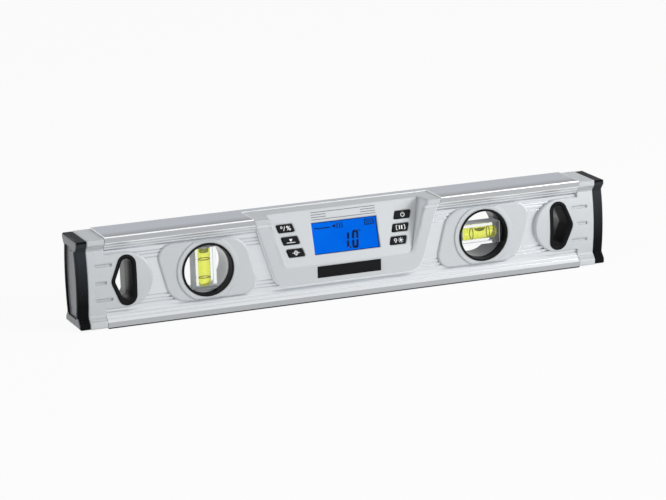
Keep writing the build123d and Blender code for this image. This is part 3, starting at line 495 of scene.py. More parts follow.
# Shrink film round the cells: dark and smooth.
cell_film = new_material("printed_cell_film")
lay_grain(cell_film, 2.0, 0.002, ("#24282e", "#2b3037"), (0.2, 0.28))

# Green solder mask on the board: a satin lacquer, a little uneven over the fibres.
board_mask = new_material("green_solder_mask")
lay_grain(board_mask, 0.8, 0.01, ("#0f4a2c", "#176239"), (0.3, 0.42))

# Dark ink of the reading lines: matt and nearly black.
line_ink = new_material("dark_line_ink")
lay_grain(line_ink, 0.2, 0.002, ("#101305", "#181c08"), (0.45, 0.55))
print(len(bpy.data.materials), "materials so far")

# %% [markdown]
# ## Extruded aluminium
# The bar is drawn through a die and anodised to a pale satin skin. Its measuring faces are milled after
# that, so they are bare, smooth and greyer, and a painted shade darkens them towards the front. The rails
# beside them keep most of their skin. The freshly cut edges at the top get a painted highlight and look
# rounded, and a painted shadow runs along the foot. Several materials would need the mesh to be split.
# Instead one material looks at where a point lies: milled faces lie outermost, and at an edge a rounded
# normal turns away from the flat one.

# %% Faces and edges of the bar
PROFILE_LOW, PROFILE_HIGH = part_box("aluminium_profile")
RAIL_BARE = 0.4  # share of the skin that the rails have lost
BROKEN_EDGE = 0.5 * MM  # width of the broken edges
RAIL_FACE = 4.5 * MM  # height of a rail's upright face
RAIL_LINE = 0.2 * MM  # how far the painted highlight of its lower edge reaches up
FOOT_LINE = 1.0 * MM  # height of the painted shadow along the foot
EDGE_SHINE = 1.3 * MM  # how far the rounding and the painted highlight of an edge reach over the upper face
ROUND_TOP = 0.8 * MM  # depth below the upper face in which the edges look rounded
FLAT_ENOUGH = 0.97  # an edge is where the rounded and the flat normal agree less than this

aluminium = new_material("anodised_extruded_aluminium", {"Metallic": 1.0})
alu_axes = place_axes(aluminium)
rails = add_node(aluminium, "ShaderNodeMath",
                 {"operation": "MULTIPLY", 0: at_faces(aluminium, "Y", PROFILE_LOW.y, PROFILE_HIGH.y),
                  1: RAIL_BARE})
measuring = at_faces(aluminium, "Z", PROFILE_LOW.z, PROFILE_HIGH.z)
milled = add_node(aluminium, "ShaderNodeMath", {"operation": "MAXIMUM", 0: rails, 1: measuring})
near_rails = at_faces(aluminium, "Y", PROFILE_LOW.y + BROKEN_EDGE, PROFILE_HIGH.y - BROKEN_EDGE)
rail_ends = at_faces(aluminium, "Z", PROFILE_HIGH.z - (RAIL_FACE - RAIL_LINE), PROFILE_HIGH.z - BROKEN_EDGE)
soft_normal = add_node(aluminium, "ShaderNodeBevel", {"Radius": EDGE_SHINE})
flat_normal = add_node(aluminium, "ShaderNodeNewGeometry").outputs["True Normal"]
flatness = add_node(aluminium, "ShaderNodeVectorMath",
                    {"operation": "DOT_PRODUCT", 0: soft_normal, 1: flat_normal}).outputs["Value"]
upper_half, near_top, near_foot, bent = [
    add_node(aluminium, "ShaderNodeMath", {"operation": test, 0: tested, 1: limit})
    for test, tested, limit in (("GREATER_THAN", alu_axes["Z"], (PROFILE_LOW.z + PROFILE_HIGH.z) / 2),
                                ("GREATER_THAN", alu_axes["Z"], PROFILE_HIGH.z - ROUND_TOP),
                                ("LESS_THAN", alu_axes["Z"], PROFILE_LOW.z + FOOT_LINE),
                                ("LESS_THAN", flatness, FLAT_ENOUGH))]
# Masks for the painted highlight on the upper edges and the rails' edges, and the painted shadow along the
# foot.
upper_rails, painted_foot_shadow, top_edge_highlight = [
    add_node(aluminium, "ShaderNodeMath", {"operation": "MULTIPLY", 0: first, 1: second})
    for first, second in ((near_rails, upper_half), (near_rails, near_foot), (near_top, bent))]
rail_edge_highlight = add_node(aluminium, "ShaderNodeMath", {"operation": "MULTIPLY", 0: upper_rails, 1: rail_ends})
painted_edge_highlight = add_node(aluminium, "ShaderNodeMath", {"operation": "MAXIMUM", 0: rail_edge_highlight, 1: top_edge_highlight})
print("milled faces lie at z", round(PROFILE_LOW.z / MM, 1), "and", round(PROFILE_HIGH.z / MM, 1), "mm")

# %% Skin, bare metal, painted highlights and painted shade
DRAW_LINE = 0.5 * MM  # spacing of the drawing lines, wider than real so that they show
DRAW_LENGTH = 90.0 * MM  # length along the bar over which a drawing line fades
FRONT_SHADE = 0.3  # painted shade: the milled face is darker at its front edge
FRONT_SHADE_DEPTH = 13.0 * MM  # depth from that edge over which this fades
SKIN_ROUGH, BARE_ROUGH = 0.33, 0.28
LINE_STRENGTH, LINE_DEPTH = 0.35, 0.01 * MM

streak_place = add_node(aluminium, "ShaderNodeMapping",
                        {"Vector": add_node(aluminium, "ShaderNodeTexCoord").outputs["Object"],
                         "Scale": (1 / DRAW_LENGTH, 1 / DRAW_LINE, 1 / DRAW_LINE)})
streaks = add_node(aluminium, "ShaderNodeTexNoise",
                   {"Scale": 1.0, "Detail": 2.0, "Vector": streak_place}).outputs["Fac"]
skin_tint, bare_tint = [
    add_node(aluminium, "ShaderNodeMix",
             {"data_type": "RGBA", 0: streaks, 6: colour(darker), 7: colour(paler)}).outputs[2]
    for darker, paler in (("#cfd2d5", "#dcdee0"), ("#9197a0", "#9ea4ad"))]
# Painted shade that darkens the milled faces towards the front edge.
painted_front_shade = add_node(aluminium, "ShaderNodeMapRange",
                {"From Min": PROFILE_LOW.y, "From Max": PROFILE_LOW.y + FRONT_SHADE_DEPTH, "To Min": FRONT_SHADE,
                 "Value": alu_axes["Y"]})
shaded_milled_tint = add_node(aluminium, "ShaderNodeMix",
                       {"data_type": "RGBA", "blend_type": "MULTIPLY", 0: 1.0, 6: bare_tint, 7: painted_front_shade})
alu_tint = skin_tint
# Mix in the milled faces with their painted shade, the painted highlight of the edges and the painted
# shadow along the foot.
for mask, tint in ((milled, shaded_milled_tint.outputs[2]), (painted_edge_highlight, colour("#fafbfb")),
                   (painted_foot_shadow, colour("#34383d"))):
    alu_tint = add_node(aluminium, "ShaderNodeMix",
                        {"data_type": "RGBA", 0: mask, 6: alu_tint, 7: tint}).outputs[2]
alu_rough = add_node(aluminium, "ShaderNodeMapRange",
                     {"To Min": SKIN_ROUGH, "To Max": BARE_ROUGH, "Value": milled})
alu_normal = add_node(aluminium, "ShaderNodeMix",
                      {"data_type": "VECTOR", 0: near_top, 4: flat_normal, 5: soft_normal}).outputs[1]
alu_bump = add_node(aluminium, "ShaderNodeBump",
                    {"Strength": LINE_STRENGTH, "Distance": LINE_DEPTH, "Height": streaks,
                     "Normal": alu_normal})
set_up(shader_of(aluminium), {"Base Color": alu_tint, "Roughness": alu_rough, "Normal": alu_bump})
print("drawing lines are", round(DRAW_LINE / MM, 1), "mm apart")

# %% [markdown]
# ## Clear pieces
# The vials are blocks of cast acrylic, filled with a dyed liquid. What gives them away is how they bend
# the view: the edges of the tube go dark and the white behind turns yellow-green. Real indices of
# refraction do that by themselves. Only the sawn faces need more: they are frosted, and a weak painted
# glow stands in for the little light that the block pipes to them.

# %% Cast acrylic
ACRYLIC_INDEX = 1.49
FROST_GLOW = 0.22  # painted light, a glow for the light that the blocks pipe to their frosted faces


def cast_acrylic(name, node, side_axis, end_axis):
    """Make acrylic that is polished in front, but frosted on the sawn sides and ends of a node.

    From inside, the sides mirror the light; the ends are frosted both ways.
    """
    low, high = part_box(node)
    material = new_material(name, {"Base Color": colour("#f7fafa"), "Roughness": 0.02, "IOR": ACRYLIC_INDEX,
                                   "Transmission Weight": 1.0})
    sides, ends = [at_faces(material, axis, getattr(low, axis.lower()), getattr(high, axis.lower()))
                   for axis in (side_axis, end_axis)]
    inside = add_node(material, "ShaderNodeNewGeometry").outputs["Backfacing"]
    sawn = add_node(material, "ShaderNodeMath", {"operation": "SUBTRACT", 0: 1.0, 1: inside})
    for step, by in (("MULTIPLY", sides), ("MAXIMUM", ends)):
        sawn = add_node(material, "ShaderNodeMath", {"operation": step, 0: sawn, 1: by})
    # The frost glows with painted light, standing in for the light that the block pipes to it.
    frost = add_node(material, "ShaderNodeBsdfPrincipled",
                     {"Base Color": colour("#c6c9cb"), "Roughness": 0.7,
                      "Emission Color": colour("#c9ccd0"), "Emission Strength": FROST_GLOW})
    both = add_node(material, "ShaderNodeMixShader", {0: sawn, 1: shader_of(material), 2: frost})
    set_up(material.node_tree.nodes["Material Output"], {"Surface": both})
    return material


# Cast acrylic blocks, polished in front and frosted where they were sawn: clear with pale grey edges.
level_acrylic = cast_acrylic("level_cast_acrylic", "level_vial", "Z", "X")
plumb_acrylic = cast_acrylic("plumb_cast_acrylic", "plumb_vial", "X", "Z")
print("acrylic bends light by", ACRYLIC_INDEX)

# %% Liquid, air and pane
LIQUID_INDEX = 1.42
PANE_INDEX = 1.05  # lower than real, as a coating takes the glare away

# Dyed mineral spirit: a strong yellow-green; a weak emission, painted light, makes it look lit from within.
liquid = new_material("dyed_vial_spirit",
                      {"Base Color": colour("#eaea5c"), "Roughness": 0.0, "IOR": LIQUID_INDEX,
                       "Transmission Weight": 1.0, "Emission Color": colour("#e6e652"),
                       "Emission Strength": 0.08})

# Air in the liquid: light bends the other way on entering it, which draws its dark outline.
air = new_material("air_bubble")
# Its grey-green colour is painted shade that darkens the bubble.
air_glass = add_node(air, "ShaderNodeBsdfGlass",
                     {"Color": colour("#cdd6b4"), "Roughness": 0.0, "IOR": 1 / LIQUID_INDEX})
set_up(air.node_tree.nodes["Material Output"], {"Surface": air_glass})

# Coated acrylic over the display: clear and almost free of glare.
pane_clear = new_material("coated_display_acrylic",
                          {"Base Color": colour("#fbfdff"), "Roughness": 0.03, "IOR": PANE_INDEX,
                           "Transmission Weight": 1.0})
print("the liquid bends light by", LIQUID_INDEX)

# %% [markdown]
# ## Backlit display
# The display is a liquid-crystal cell with a blue light behind it. A lamp behind a clear sheet would be
# slow to render, so the cell itself glows. Its blue is a little uneven, as the light of a few diodes is.

# %% Blue of the display
BACKLIGHT_PATCH = 16.0 * MM  # size of the uneven patches of the backlight

# Backlit liquid-crystal cell: a bright blue that glows.
lcd_blue = new_material("backlit_blue_lcd",
                        {"Base Color": colour("#00103a"), "Roughness": 0.3, "Specular IOR Level": 0.0,
                         "Emission Strength": 0.8})
lcd_place = add_node(lcd_blue, "ShaderNodeTexCoord").outputs["Object"]
lcd_patch = add_node(lcd_blue, "ShaderNodeTexNoise",
                     {"Scale": 1 / BACKLIGHT_PATCH, "Detail": 1.0, "Vector": lcd_place}).outputs["Fac"]
lcd_tint = add_node(lcd_blue, "ShaderNodeMix",
                    {"data_type": "RGBA", 0: lcd_patch, 6: colour("#0066ec"), 7: colour("#047aff")})
print("backlight with patches of", round(BACKLIGHT_PATCH / MM, 1), "mm")

# %% [markdown]
# ## Dressing the CAD pieces
# Each CAD piece already has a material slot. Nothing is gained by modelling these pieces again, so they
# only get the finish of the real piece, chosen by the slot's name in the record. A few pieces look
# different from others of their slot, and these are named one by one.

# %% Dress the CAD pieces
FINISHES = {
    "milled_aluminium": aluminium,
    "silver_plastic": silver_abs,
    "black_rubber": black_rubber,
    "black_plastic": black_abs,
    "grey_plastic": grey_abs,
    "clear_acrylic": plumb_acrylic,
    "vial_liquid": liquid,
    "vial_bubble": air,
    "line_ink": line_ink,
    "lcd_glass": lcd_blue,
    "diffuser": diffuser,
    "circuit_board": board_mask,
    "component": component,
    "plated_steel": plated_steel,
    "cell_jacket": cell_film,
}
KEYS = [name for name in frame["bodies"] if name.startswith("key_")]
OWN_FINISHES = {
    "display_housing": rolled_abs,
    "grip_liner_left_front": seam_abs,
    "grip_liner_left_rear": dark_abs,
    "grip_liner_right_rear": polished_abs,
    "level_barrel": shaded_grey_abs,
    "level_ring_rear": shaded_grey_abs,
    "level_vial": level_acrylic,
    **dict.fromkeys(KEYS, key_abs),
}
for subpart in frame["record"]["subparts"]:
    finish = OWN_FINISHES.get(subpart["node"], FINISHES[subpart["material_slot"]])
    for slot in nodes[subpart["node"]].material_slots:
        slot.material = finish
print(len(nodes), "CAD pieces dressed,", len(OWN_FINISHES), "of them in a finish of their own")

# %% [markdown]
# ## Tools for new pieces
# Print and symbols are thin flat shapes. Each is drawn as by hand: a plane or a circle is added at its
# size and place, shaped in edit mode, and raised by the thickness of the ink. The strokes of a symbol are
# then joined and set on the face that carries them.

# %% Bars and discs
DISC_SIDES = 32


def edit(operation, **settings):
    """Run one mesh operator on the whole active mesh in edit mode."""
    bpy.ops.object.mode_set(mode="EDIT")
    bpy.ops.mesh.select_all(action="SELECT")
    operation(**settings)
    bpy.ops.object.mode_set(mode="OBJECT")


def apply_place():
    """Leave the place, turn and scale of the selected piece in its mesh."""
    bpy.ops.object.transform_apply(location=True, rotation=True, scale=True)


def draw_bar(x, y, width, tall, corner=0.0, turn=0.0):
    """Draw a rectangular stroke in mm, with cut corners if asked."""
    bpy.ops.object.select_all(action="DESELECT")
    bpy.ops.mesh.primitive_plane_add(size=MM, location=(x * MM, y * MM, 0), rotation=(0, 0, turn))
    stroke = bpy.context.object
    stroke.scale = (width, tall, 1)
    apply_place()
    if corner:
        edit(bpy.ops.mesh.bevel, offset=corner * MM, affect="VERTICES")
    return stroke


def draw_disc(x, y, radius, sides=DISC_SIDES, turn=0.0):
    """Draw a filled disc, or a polygon with few sides."""
    bpy.ops.object.select_all(action="DESELECT")
    bpy.ops.mesh.primitive_circle_add(vertices=sides, radius=radius * MM, fill_type="NGON",
                                      location=(x * MM, y * MM, 0), rotation=(0, 0, turn))
    apply_place()
    return bpy.context.object


print("discs have", DISC_SIDES, "sides")

# %% Arcs
SLIVER = 0.01  # mm, width of the plane that is merged to an edge and spun to an arc
STEPS_PER_RADIAN = 5
FEWEST_STEPS = 6
TURN = 2 * pi


def draw_arc(x, y, radius, width, start, sweep):
    """Draw an arc by spinning a short edge about its centre."""
    centre = (x * MM, y * MM, 0)
    steps = max(FEWEST_STEPS, round(abs(sweep) * STEPS_PER_RADIAN))
    bpy.ops.object.select_all(action="DESELECT")
    bpy.ops.mesh.primitive_plane_add(size=MM, location=((x + radius) * MM, y * MM, 0))
    arc = bpy.context.object
    arc.scale = (width, SLIVER, 1)
    apply_place()
    bpy.ops.object.mode_set(mode="EDIT")
    bpy.ops.mesh.select_all(action="SELECT")
    bpy.ops.mesh.remove_doubles(threshold=2 * SLIVER * MM)
    bpy.ops.transform.rotate(value=-start, orient_axis="Z", center_override=centre)
    bpy.ops.mesh.spin(steps=steps, angle=-sweep, center=centre, axis=(0, 0, 1))
    bpy.ops.mesh.select_all(action="SELECT")
    bpy.ops.mesh.remove_doubles(threshold=2 * SLIVER * MM)
    bpy.ops.object.mode_set(mode="OBJECT")
    return arc


print("a full ring has", round(TURN * STEPS_PER_RADIAN), "steps")

# %% Joining and placing
INK = 0.05  # thickness of printed ink in mm


def select_only(piece):
    """Select one piece, make it the active one and deselect all others."""
    bpy.ops.object.select_all(action="DESELECT")
    piece.select_set(True)
    bpy.context.view_layer.objects.active = piece


def join(strokes, name):
    """Join strokes to one object and name it."""
    select_only(strokes[0])
    for stroke in strokes[1:]:
        stroke.select_set(True)
    bpy.ops.object.join()
    strokes[0].name = name
    return strokes[0]


def put(piece, place):
    """Move a piece to its place and leave the place in its mesh."""
    piece.matrix_world = place
    select_only(piece)
    apply_place()


def finish_piece(piece, material, body):
    """Give a piece its finish and let it ride on a body."""
    piece.data.materials.clear()
    piece.data.materials.append(material)
    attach(piece, body)


def print_on(strokes, name, place, material, body):
    """Raise flat strokes by the thickness of ink and set them on a face."""
    piece = join(strokes, name)
    edit(bpy.ops.mesh.extrude_region_move, TRANSFORM_OT_translate={"value": (0, 0, INK * MM)})
    edit(bpy.ops.mesh.normals_make_consistent, inside=False)
    put(piece, place)
    finish_piece(piece, material, body)


print("ink is", INK, "mm thick")

# %% [markdown]
# ## The leaning panel
# Display and keys lie on a panel that leans back. Its direction is the way the keys travel, so it is
# read from a key's joint, and the faces that carry print are found from the CAD pieces themselves.

# %% Panel directions
FRONT_SKIN = 0.02 * MM  # points this near to a node's front count as lying on it

press = next(joint for joint in frame["joints"] if joint["child"] == "key_unit")
ACROSS = Vector((1, 0, 0))
OUTWARD = -Vector(press["axis"]).normalized()
UPWARD = OUTWARD.cross(ACROSS)


def front_of(node):
    """Placing matrix at the middle of a node's front face on the panel."""
    points = [vertex.co for vertex in nodes[node].data.vertices]
    front = max(OUTWARD.dot(point) for point in points)
    face = [point for point in points if OUTWARD.dot(point) > front - FRONT_SKIN]
    middle = OUTWARD * front
    for axis in (ACROSS, UPWARD):
        reaches = [axis.dot(point) for point in face]
        middle += axis * (min(reaches) + max(reaches)) / 2
    turn = Matrix((ACROSS, UPWARD, OUTWARD)).transposed().to_4x4()
    return Matrix.Translation(middle) @ turn


print("the panel leans back", round(degrees(OUTWARD.angle(Vector((0, -1, 0)))), 1), "degrees")

# %% [markdown]
# ## Display
# A clear pane closes the display, and behind it the reading stands in dark segments on blue. The lit blue
# ends a little inside the pane's edge. A font would be quick, but a real display builds every figure
# from the same few bars, so one function draws a bar with pointed ends and another one picks the bars
# of a figure.

# %% Pane over the display
PANE_THICK = 1.2
PANE_EDGE = 0.2


def span(values):
    """Distance between the lowest and the highest of some values."""
    return max(values) - min(values)


pane_low, pane_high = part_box("display_window")
pane_width = pane_high.x - pane_low.x
pane_tall = span([UPWARD.dot(vertex.co) for vertex in nodes["display_window"].data.vertices])

bpy.ops.object.select_all(action="DESELECT")
bpy.ops.mesh.primitive_cube_add(size=1, location=(0, 0, -PANE_THICK * MM / 2))
pane = bpy.context.object
pane.name = "display_pane"
pane.scale = (pane_width, pane_tall, PANE_THICK * MM)
apply_place()
edit(bpy.ops.mesh.bevel, offset=PANE_EDGE * MM, segments=2, affect="EDGES")
put(pane, front_of("display_window"))
finish_piece(pane, pane_clear, "level_body")
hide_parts("display_window")
print("pane", round(pane_width / MM, 1), "by", round(pane_tall / MM, 1), "mm")

# %% Lit field of the display
FIELD_MARGIN = 0.5 * MM  # the backlight ends this far inside the pane's edge

field_off = add_node(lcd_blue, "ShaderNodeVectorMath",
                     {"operation": "SUBTRACT", 0: lcd_place, 1: front_of("display_window").translation})
unlit = 0.0
for axis, reach in ((ACROSS, pane_width / 2), (UPWARD, pane_tall / 2)):
    past = add_node(lcd_blue, "ShaderNodeVectorMath",
                    {"operation": "DOT_PRODUCT", 0: field_off, 1: axis}).outputs["Value"]
    for step, by in (("ABSOLUTE", 0.0), ("GREATER_THAN", reach - FIELD_MARGIN), ("MAXIMUM", unlit)):
        past = add_node(lcd_blue, "ShaderNodeMath", {"operation": step, 0: past, 1: by})
    unlit = past
field_tint = add_node(lcd_blue, "ShaderNodeMix",
                      {"data_type": "RGBA", 0: unlit, 6: lcd_tint.outputs[2], 7: colour("#00267a")})
set_up(shader_of(lcd_blue), {"Emission Color": field_tint.outputs[2]})
print("the lit field ends", round(FIELD_MARGIN / MM, 1), "mm inside the pane")

# %% Reading on the display
SEGMENT = 1.7  # width of a segment in mm
SEGMENT_GAP = 0.7
FIGURE_WIDTH = 4.9
FIGURE_TALL = 12.8
FIGURE_MIDDLE = -3.3  # height of the figures' middle against the display's middle
FIGURE_LEAN = 0.12  # the figures lean to the right
FIGURES = {"1": -2.2, "0": 5.0}  # figures shown, and where their left sides are
POINTED = 0.5  # cut at the corners of a segment
POINT_X, POINT_SIZE, POINT_CORNER = 3.0, 1.2, 0.2  # decimal point
RING_X, RING_Y, RING_RADIUS, RING_LINE = 11.6, 2.4, 0.55, 0.35  # degree sign
SEGMENTS = {"0": "abcdef", "1": "bc"}


def draw_figure(figure, x):
    """Draw a seven-segment figure whose left side is at x."""
    left, right = x + SEGMENT / 2, x + FIGURE_WIDTH - SEGMENT / 2
    top = FIGURE_MIDDLE + (FIGURE_TALL - SEGMENT) / 2
    low = FIGURE_MIDDLE - (FIGURE_TALL - SEGMENT) / 2
    upright = (SEGMENT, (FIGURE_TALL - SEGMENT) / 2 - SEGMENT_GAP)
    level_bar = (FIGURE_WIDTH - SEGMENT_GAP, SEGMENT)
    upper, lower = (top + FIGURE_MIDDLE) / 2, (low + FIGURE_MIDDLE) / 2
    middle = x + FIGURE_WIDTH / 2
    bars = {"a": (middle, top, level_bar, 0), "d": (middle, low, level_bar, 0),
            "b": (right, upper, upright, -FIGURE_LEAN), "c": (right, lower, upright, -FIGURE_LEAN),
            "e": (left, lower, upright, -FIGURE_LEAN), "f": (left, upper, upright, -FIGURE_LEAN)}
    strokes = []
    for letter in SEGMENTS[figure]:
        across, height, size, turn = bars[letter]
        lean = FIGURE_LEAN * (height - FIGURE_MIDDLE)
        strokes.append(draw_bar(across + lean, height, *size, corner=POINTED, turn=turn))
    return strokes


# Liquid crystal that is switched on: it blocks the backlight, so it reads as deep navy.
lcd_dark = new_material("dark_liquid_crystal", {"Specular IOR Level": 0.1})
lay_grain(lcd_dark, 0.3, 0.001, ("#020a2c", "#04103c"), (0.35, 0.45))

reading = [stroke for figure, x in FIGURES.items() for stroke in draw_figure(figure, x)]
reading.append(draw_bar(POINT_X, FIGURE_MIDDLE - (FIGURE_TALL - SEGMENT) / 2, POINT_SIZE, POINT_SIZE,
                        corner=POINT_CORNER))
reading.append(draw_arc(RING_X, RING_Y, RING_RADIUS, RING_LINE, 0, TURN))
print_on(reading, "reading", front_of("lcd_panel"), lcd_dark, "level_body")
print("reading with", len(FIGURES), "figures")

# %% Icons on the display
ICON_LINE = 0.75
SLOPE_X, SLOPE_Y, SLOPE_LONG = -16.2, 7.0, 11.6  # a line beside the sound sign
TICK_X, TICK_Y, TICK_LONG = -21.6, 7.4, 1.4  # the raised end of that line
SOUND_X, SOUND_Y = -7.9, 7.6
ARC_RADIUS, ARC_START, ARC_SWEEP = 2.5, -0.8, 1.6
ARC_STEPS = (0.5, 2.4, 4.3)  # where the arcs of the sound start
CELL_X, CELL_Y, CELL_LONG, CELL_HIGH = 19.3, 7.7, 6.4, 3.3
DOT_STEPS = (-1.6, 0, 1.6)  # dots inside the battery
SIDES = (1, -1)

sound = [draw_bar(SLOPE_X, SLOPE_Y, SLOPE_LONG, ICON_LINE), draw_bar(TICK_X, TICK_Y, TICK_LONG, ICON_LINE)]
sound.append(draw_bar(SOUND_X, SOUND_Y, 1.2, 1.5))
sound.append(draw_disc(SOUND_X + 0.7, SOUND_Y, 1.6, sides=3, turn=pi / 2))
sound += [draw_arc(SOUND_X + step, SOUND_Y, ARC_RADIUS, ICON_LINE, ARC_START, ARC_SWEEP)
          for step in ARC_STEPS]
print_on(sound, "sound_icon", front_of("lcd_panel"), lcd_dark, "level_body")

cell = [draw_bar(CELL_X, CELL_Y + side * CELL_HIGH / 2, CELL_LONG, ICON_LINE) for side in SIDES]
cell += [draw_bar(CELL_X + side * CELL_LONG / 2, CELL_Y, ICON_LINE, CELL_HIGH + ICON_LINE)
         for side in SIDES]
cell.append(draw_bar(CELL_X + CELL_LONG / 2 + 0.5, CELL_Y, 0.55, 1.2))
cell += [draw_bar(CELL_X + step, CELL_Y, 1.1, 1.0) for step in DOT_STEPS]
print_on(cell, "battery_icon", front_of("lcd_panel"), lcd_dark, "level_body")
print("icons of", len(sound), "and", len(cell), "strokes")

# %% [markdown]
# ## Symbols on the keys
# Each key carries a white printed sign for what it does: unit, reference, calibration, power, hold and
# light. The signs are thin relief on the key's own front, and each rides on its key, so it goes in
# with it when the key is pressed.

# %% Signs of the left-hand keys
LINE = 0.5  # width of a sign's strokes in mm
THIN_LINE = 0.4


def draw_unit():
    """Degree and percent signs with a stroke between them."""
    strokes = [draw_arc(x, y, 0.6, LINE, 0, TURN) for x, y in ((-3.1, 0.9), (1.3, 0.9), (3.1, -0.9))]
    return strokes + [draw_bar(x, 0, LINE, 3.4, turn=-lean) for x, lean in ((-1.1, 0.3), (2.2, 0.6))]


def draw_reference():
    """A pointer down on a base line."""
    return [draw_bar(0, -1.4, 6.4, LINE), draw_disc(0, 0.5, 1.5, sides=3, turn=pi)]


def draw_calibrate():
    """A ring with cross hairs."""
    cross = [draw_bar(0, 0, 5.6, THIN_LINE), draw_bar(0, 0, THIN_LINE, 3.9)]
    return [draw_arc(0, 0, 1.3, LINE, 0, TURN)] + cross


print("signs are drawn with strokes of", THIN_LINE, "and", LINE, "mm")

# %% Signs of the right-hand keys
SUN_X = 1.6
RAY_OUT = 1.6  # from the sun's middle to the middle of a ray
RAYS = 8


def draw_power():
    """A ring open at the top with a stroke in the gap."""
    return [draw_arc(0, -0.1, 1.4, LINE, pi / 2 + 0.6, TURN - 1.2), draw_bar(0, 1.1, LINE, 1.7)]


def draw_hold():
    """Two upright strokes between brackets."""
    strokes = [draw_bar(x, 0, 0.9, 2.8) for x in (-0.9, 0.9)]
    strokes += [draw_bar(side * 3.3, 0, LINE, 3.4) for side in SIDES]
    return strokes + [draw_bar(side * 2.9, y, 1.0, LINE) for side in SIDES for y in (-1.5, 1.5)]


def draw_light():
    """A lamp beside a sun."""
    strokes = [draw_arc(-2.4, 0.4, 0.9, LINE, 0, TURN), draw_bar(-2.4, -1.2, 0.9, 0.7)]
    for turn in [ray * TURN / RAYS for ray in range(RAYS)]:
        x, y = SUN_X + RAY_OUT * cos(turn), RAY_OUT * sin(turn)
        strokes.append(draw_bar(x, y, 0.8, THIN_LINE, turn=turn))
    return strokes + [draw_disc(SUN_X, 0, 0.9)]


print("the sun has", RAYS, "rays")

# %% Print the signs
# Pad-printed white ink: matt and a touch uneven.
white_ink = new_material("pad_printed_white_ink")
lay_grain(white_ink, 0.2, 0.002, ("#e6e8e9", "#f4f5f5"), (0.5, 0.6))

SYMBOLS = {"key_unit": draw_unit, "key_reference": draw_reference, "key_calibrate": draw_calibrate,
           "key_power": draw_power, "key_hold": draw_hold, "key_light": draw_light}
for key, draw in SYMBOLS.items():
    print_on(draw(), key + "_symbol", front_of(key), white_ink, key)
print(len(SYMBOLS), "key symbols")

# %% [markdown]
# ## Printed stripes
# Four rows of thin grey stripes are printed on the panel above the display, the two inner ones only at
# their ends. They are drawn as strokes as well, on the panel's surface, which the pane's front lies
# just below.

# %% Printed stripes
PANE_SINK = 0.1  # the pane's front lies this far below the panel
STRIPE_LENGTH = 49.0
STRIPE_SHORT = 11.4  # the two inner rows leave their middle bare
STRIPE_WIDTH = 0.5
STRIPE_LOW = 13.4  # lowest stripe above the middle of the display
STRIPE_PITCH = 1.75
LONG_ROWS, SHORT_ROWS = (0, 3), (1, 2)

# Pad-printed grey ink, a little darker than the lacquer below it.
grey_ink = new_material("pad_printed_grey_ink")
lay_grain(grey_ink, 0.2, 0.002, ("#62666b", "#71757a"), (0.45, 0.55))
stripes = [draw_bar(0, STRIPE_LOW + row * STRIPE_PITCH, STRIPE_LENGTH, STRIPE_WIDTH) for row in LONG_ROWS]
short_x = (STRIPE_LENGTH - STRIPE_SHORT) / 2
stripes += [draw_bar(side * short_x, STRIPE_LOW + row * STRIPE_PITCH, STRIPE_SHORT, STRIPE_WIDTH)
            for row in SHORT_ROWS for side in SIDES]
panel_face = front_of("display_window") @ Matrix.Translation((0, 0, PANE_SINK * MM))
print_on(stripes, "panel_stripes", panel_face, grey_ink, "level_body")
print(len(stripes), "stripes in four rows")

# %% [markdown]
# ## Liquid and bubbles
# The liquid wets the whole bore, so its outside is drawn a hair larger than the bore: then light passes
# from acrylic to liquid with no film of air between. The bubble of the level vial is flattened by the
# top of the bore, so it is cut out of a stretched sphere by a tube. The one of the plumb vial is a
# squashed sphere under the plug.

# %% Faces and shading
FACING = 0.9  # a face looks in a direction if its normal agrees with it more than this


def select_faces(piece, direction):
    """Enter edit mode with only the faces selected that look in a direction."""
    bpy.ops.object.mode_set(mode="EDIT")
    bpy.ops.mesh.select_mode(type="FACE")
    bpy.ops.mesh.select_all(action="DESELECT")
    bpy.ops.object.mode_set(mode="OBJECT")
    for face in piece.data.polygons:
        face.select = face.normal.dot(Vector(direction)) > FACING
    bpy.ops.object.mode_set(mode="EDIT")


def smooth_shade(piece, angle):
    """Shade a piece smooth, apart from edges that are sharper than an angle in degrees."""
    select_only(piece)
    bpy.ops.object.shade_smooth_by_angle(angle=radians(angle))


print("a face looks in a direction within", round(degrees(acos(FACING))), "degrees of it")

# %% Liquid
WET = 0.21  # mm that the liquid reaches past its CAD solid, just into the acrylic
END_WET = 0.01
LIQUID_EDGE = 0.35
BORE_ROUND = 3.0  # round corner at the closed end of a bore
ROUND_SIDES = 96
CORNER_STEPS = 8
LIQUID_SMOOTH = 40  # degrees


def make_liquid(vial):
    """Fill the bore of a vial, round at its closed end."""
    low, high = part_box(vial + "_fluid")
    size = high - low
    along_x = size.x > size.z
    radius = min(size.x, size.z) / 2 + WET * MM
    bpy.ops.object.select_all(action="DESELECT")
    bpy.ops.mesh.primitive_cylinder_add(
        vertices=ROUND_SIDES, radius=radius, depth=max(size.x, size.z) + 2 * END_WET * MM,
        location=(low + high) / 2, rotation=(0, pi / 2, 0) if along_x else (0, 0, 0))
    piece = bpy.context.object
    piece.name = vial + "_liquid"
    apply_place()
    closed_end = Vector((1, 0, 0) if along_x else (0, 0, -1))
    for direction, corner in ((closed_end, BORE_ROUND), (-closed_end, LIQUID_EDGE)):
        select_faces(piece, direction)
        bpy.ops.mesh.region_to_loop()
        bpy.ops.mesh.bevel(offset=corner * MM, segments=CORNER_STEPS, affect="EDGES")
        bpy.ops.object.mode_set(mode="OBJECT")
    smooth_shade(piece, LIQUID_SMOOTH)
    finish_piece(piece, liquid, "level_body")
    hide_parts(vial + "_fluid")
    return piece


for vial in ("level", "plumb"):
    print(make_liquid(vial).name, "fills its bore")

# %% Balls and cuts
BALL_SEGMENTS = 64


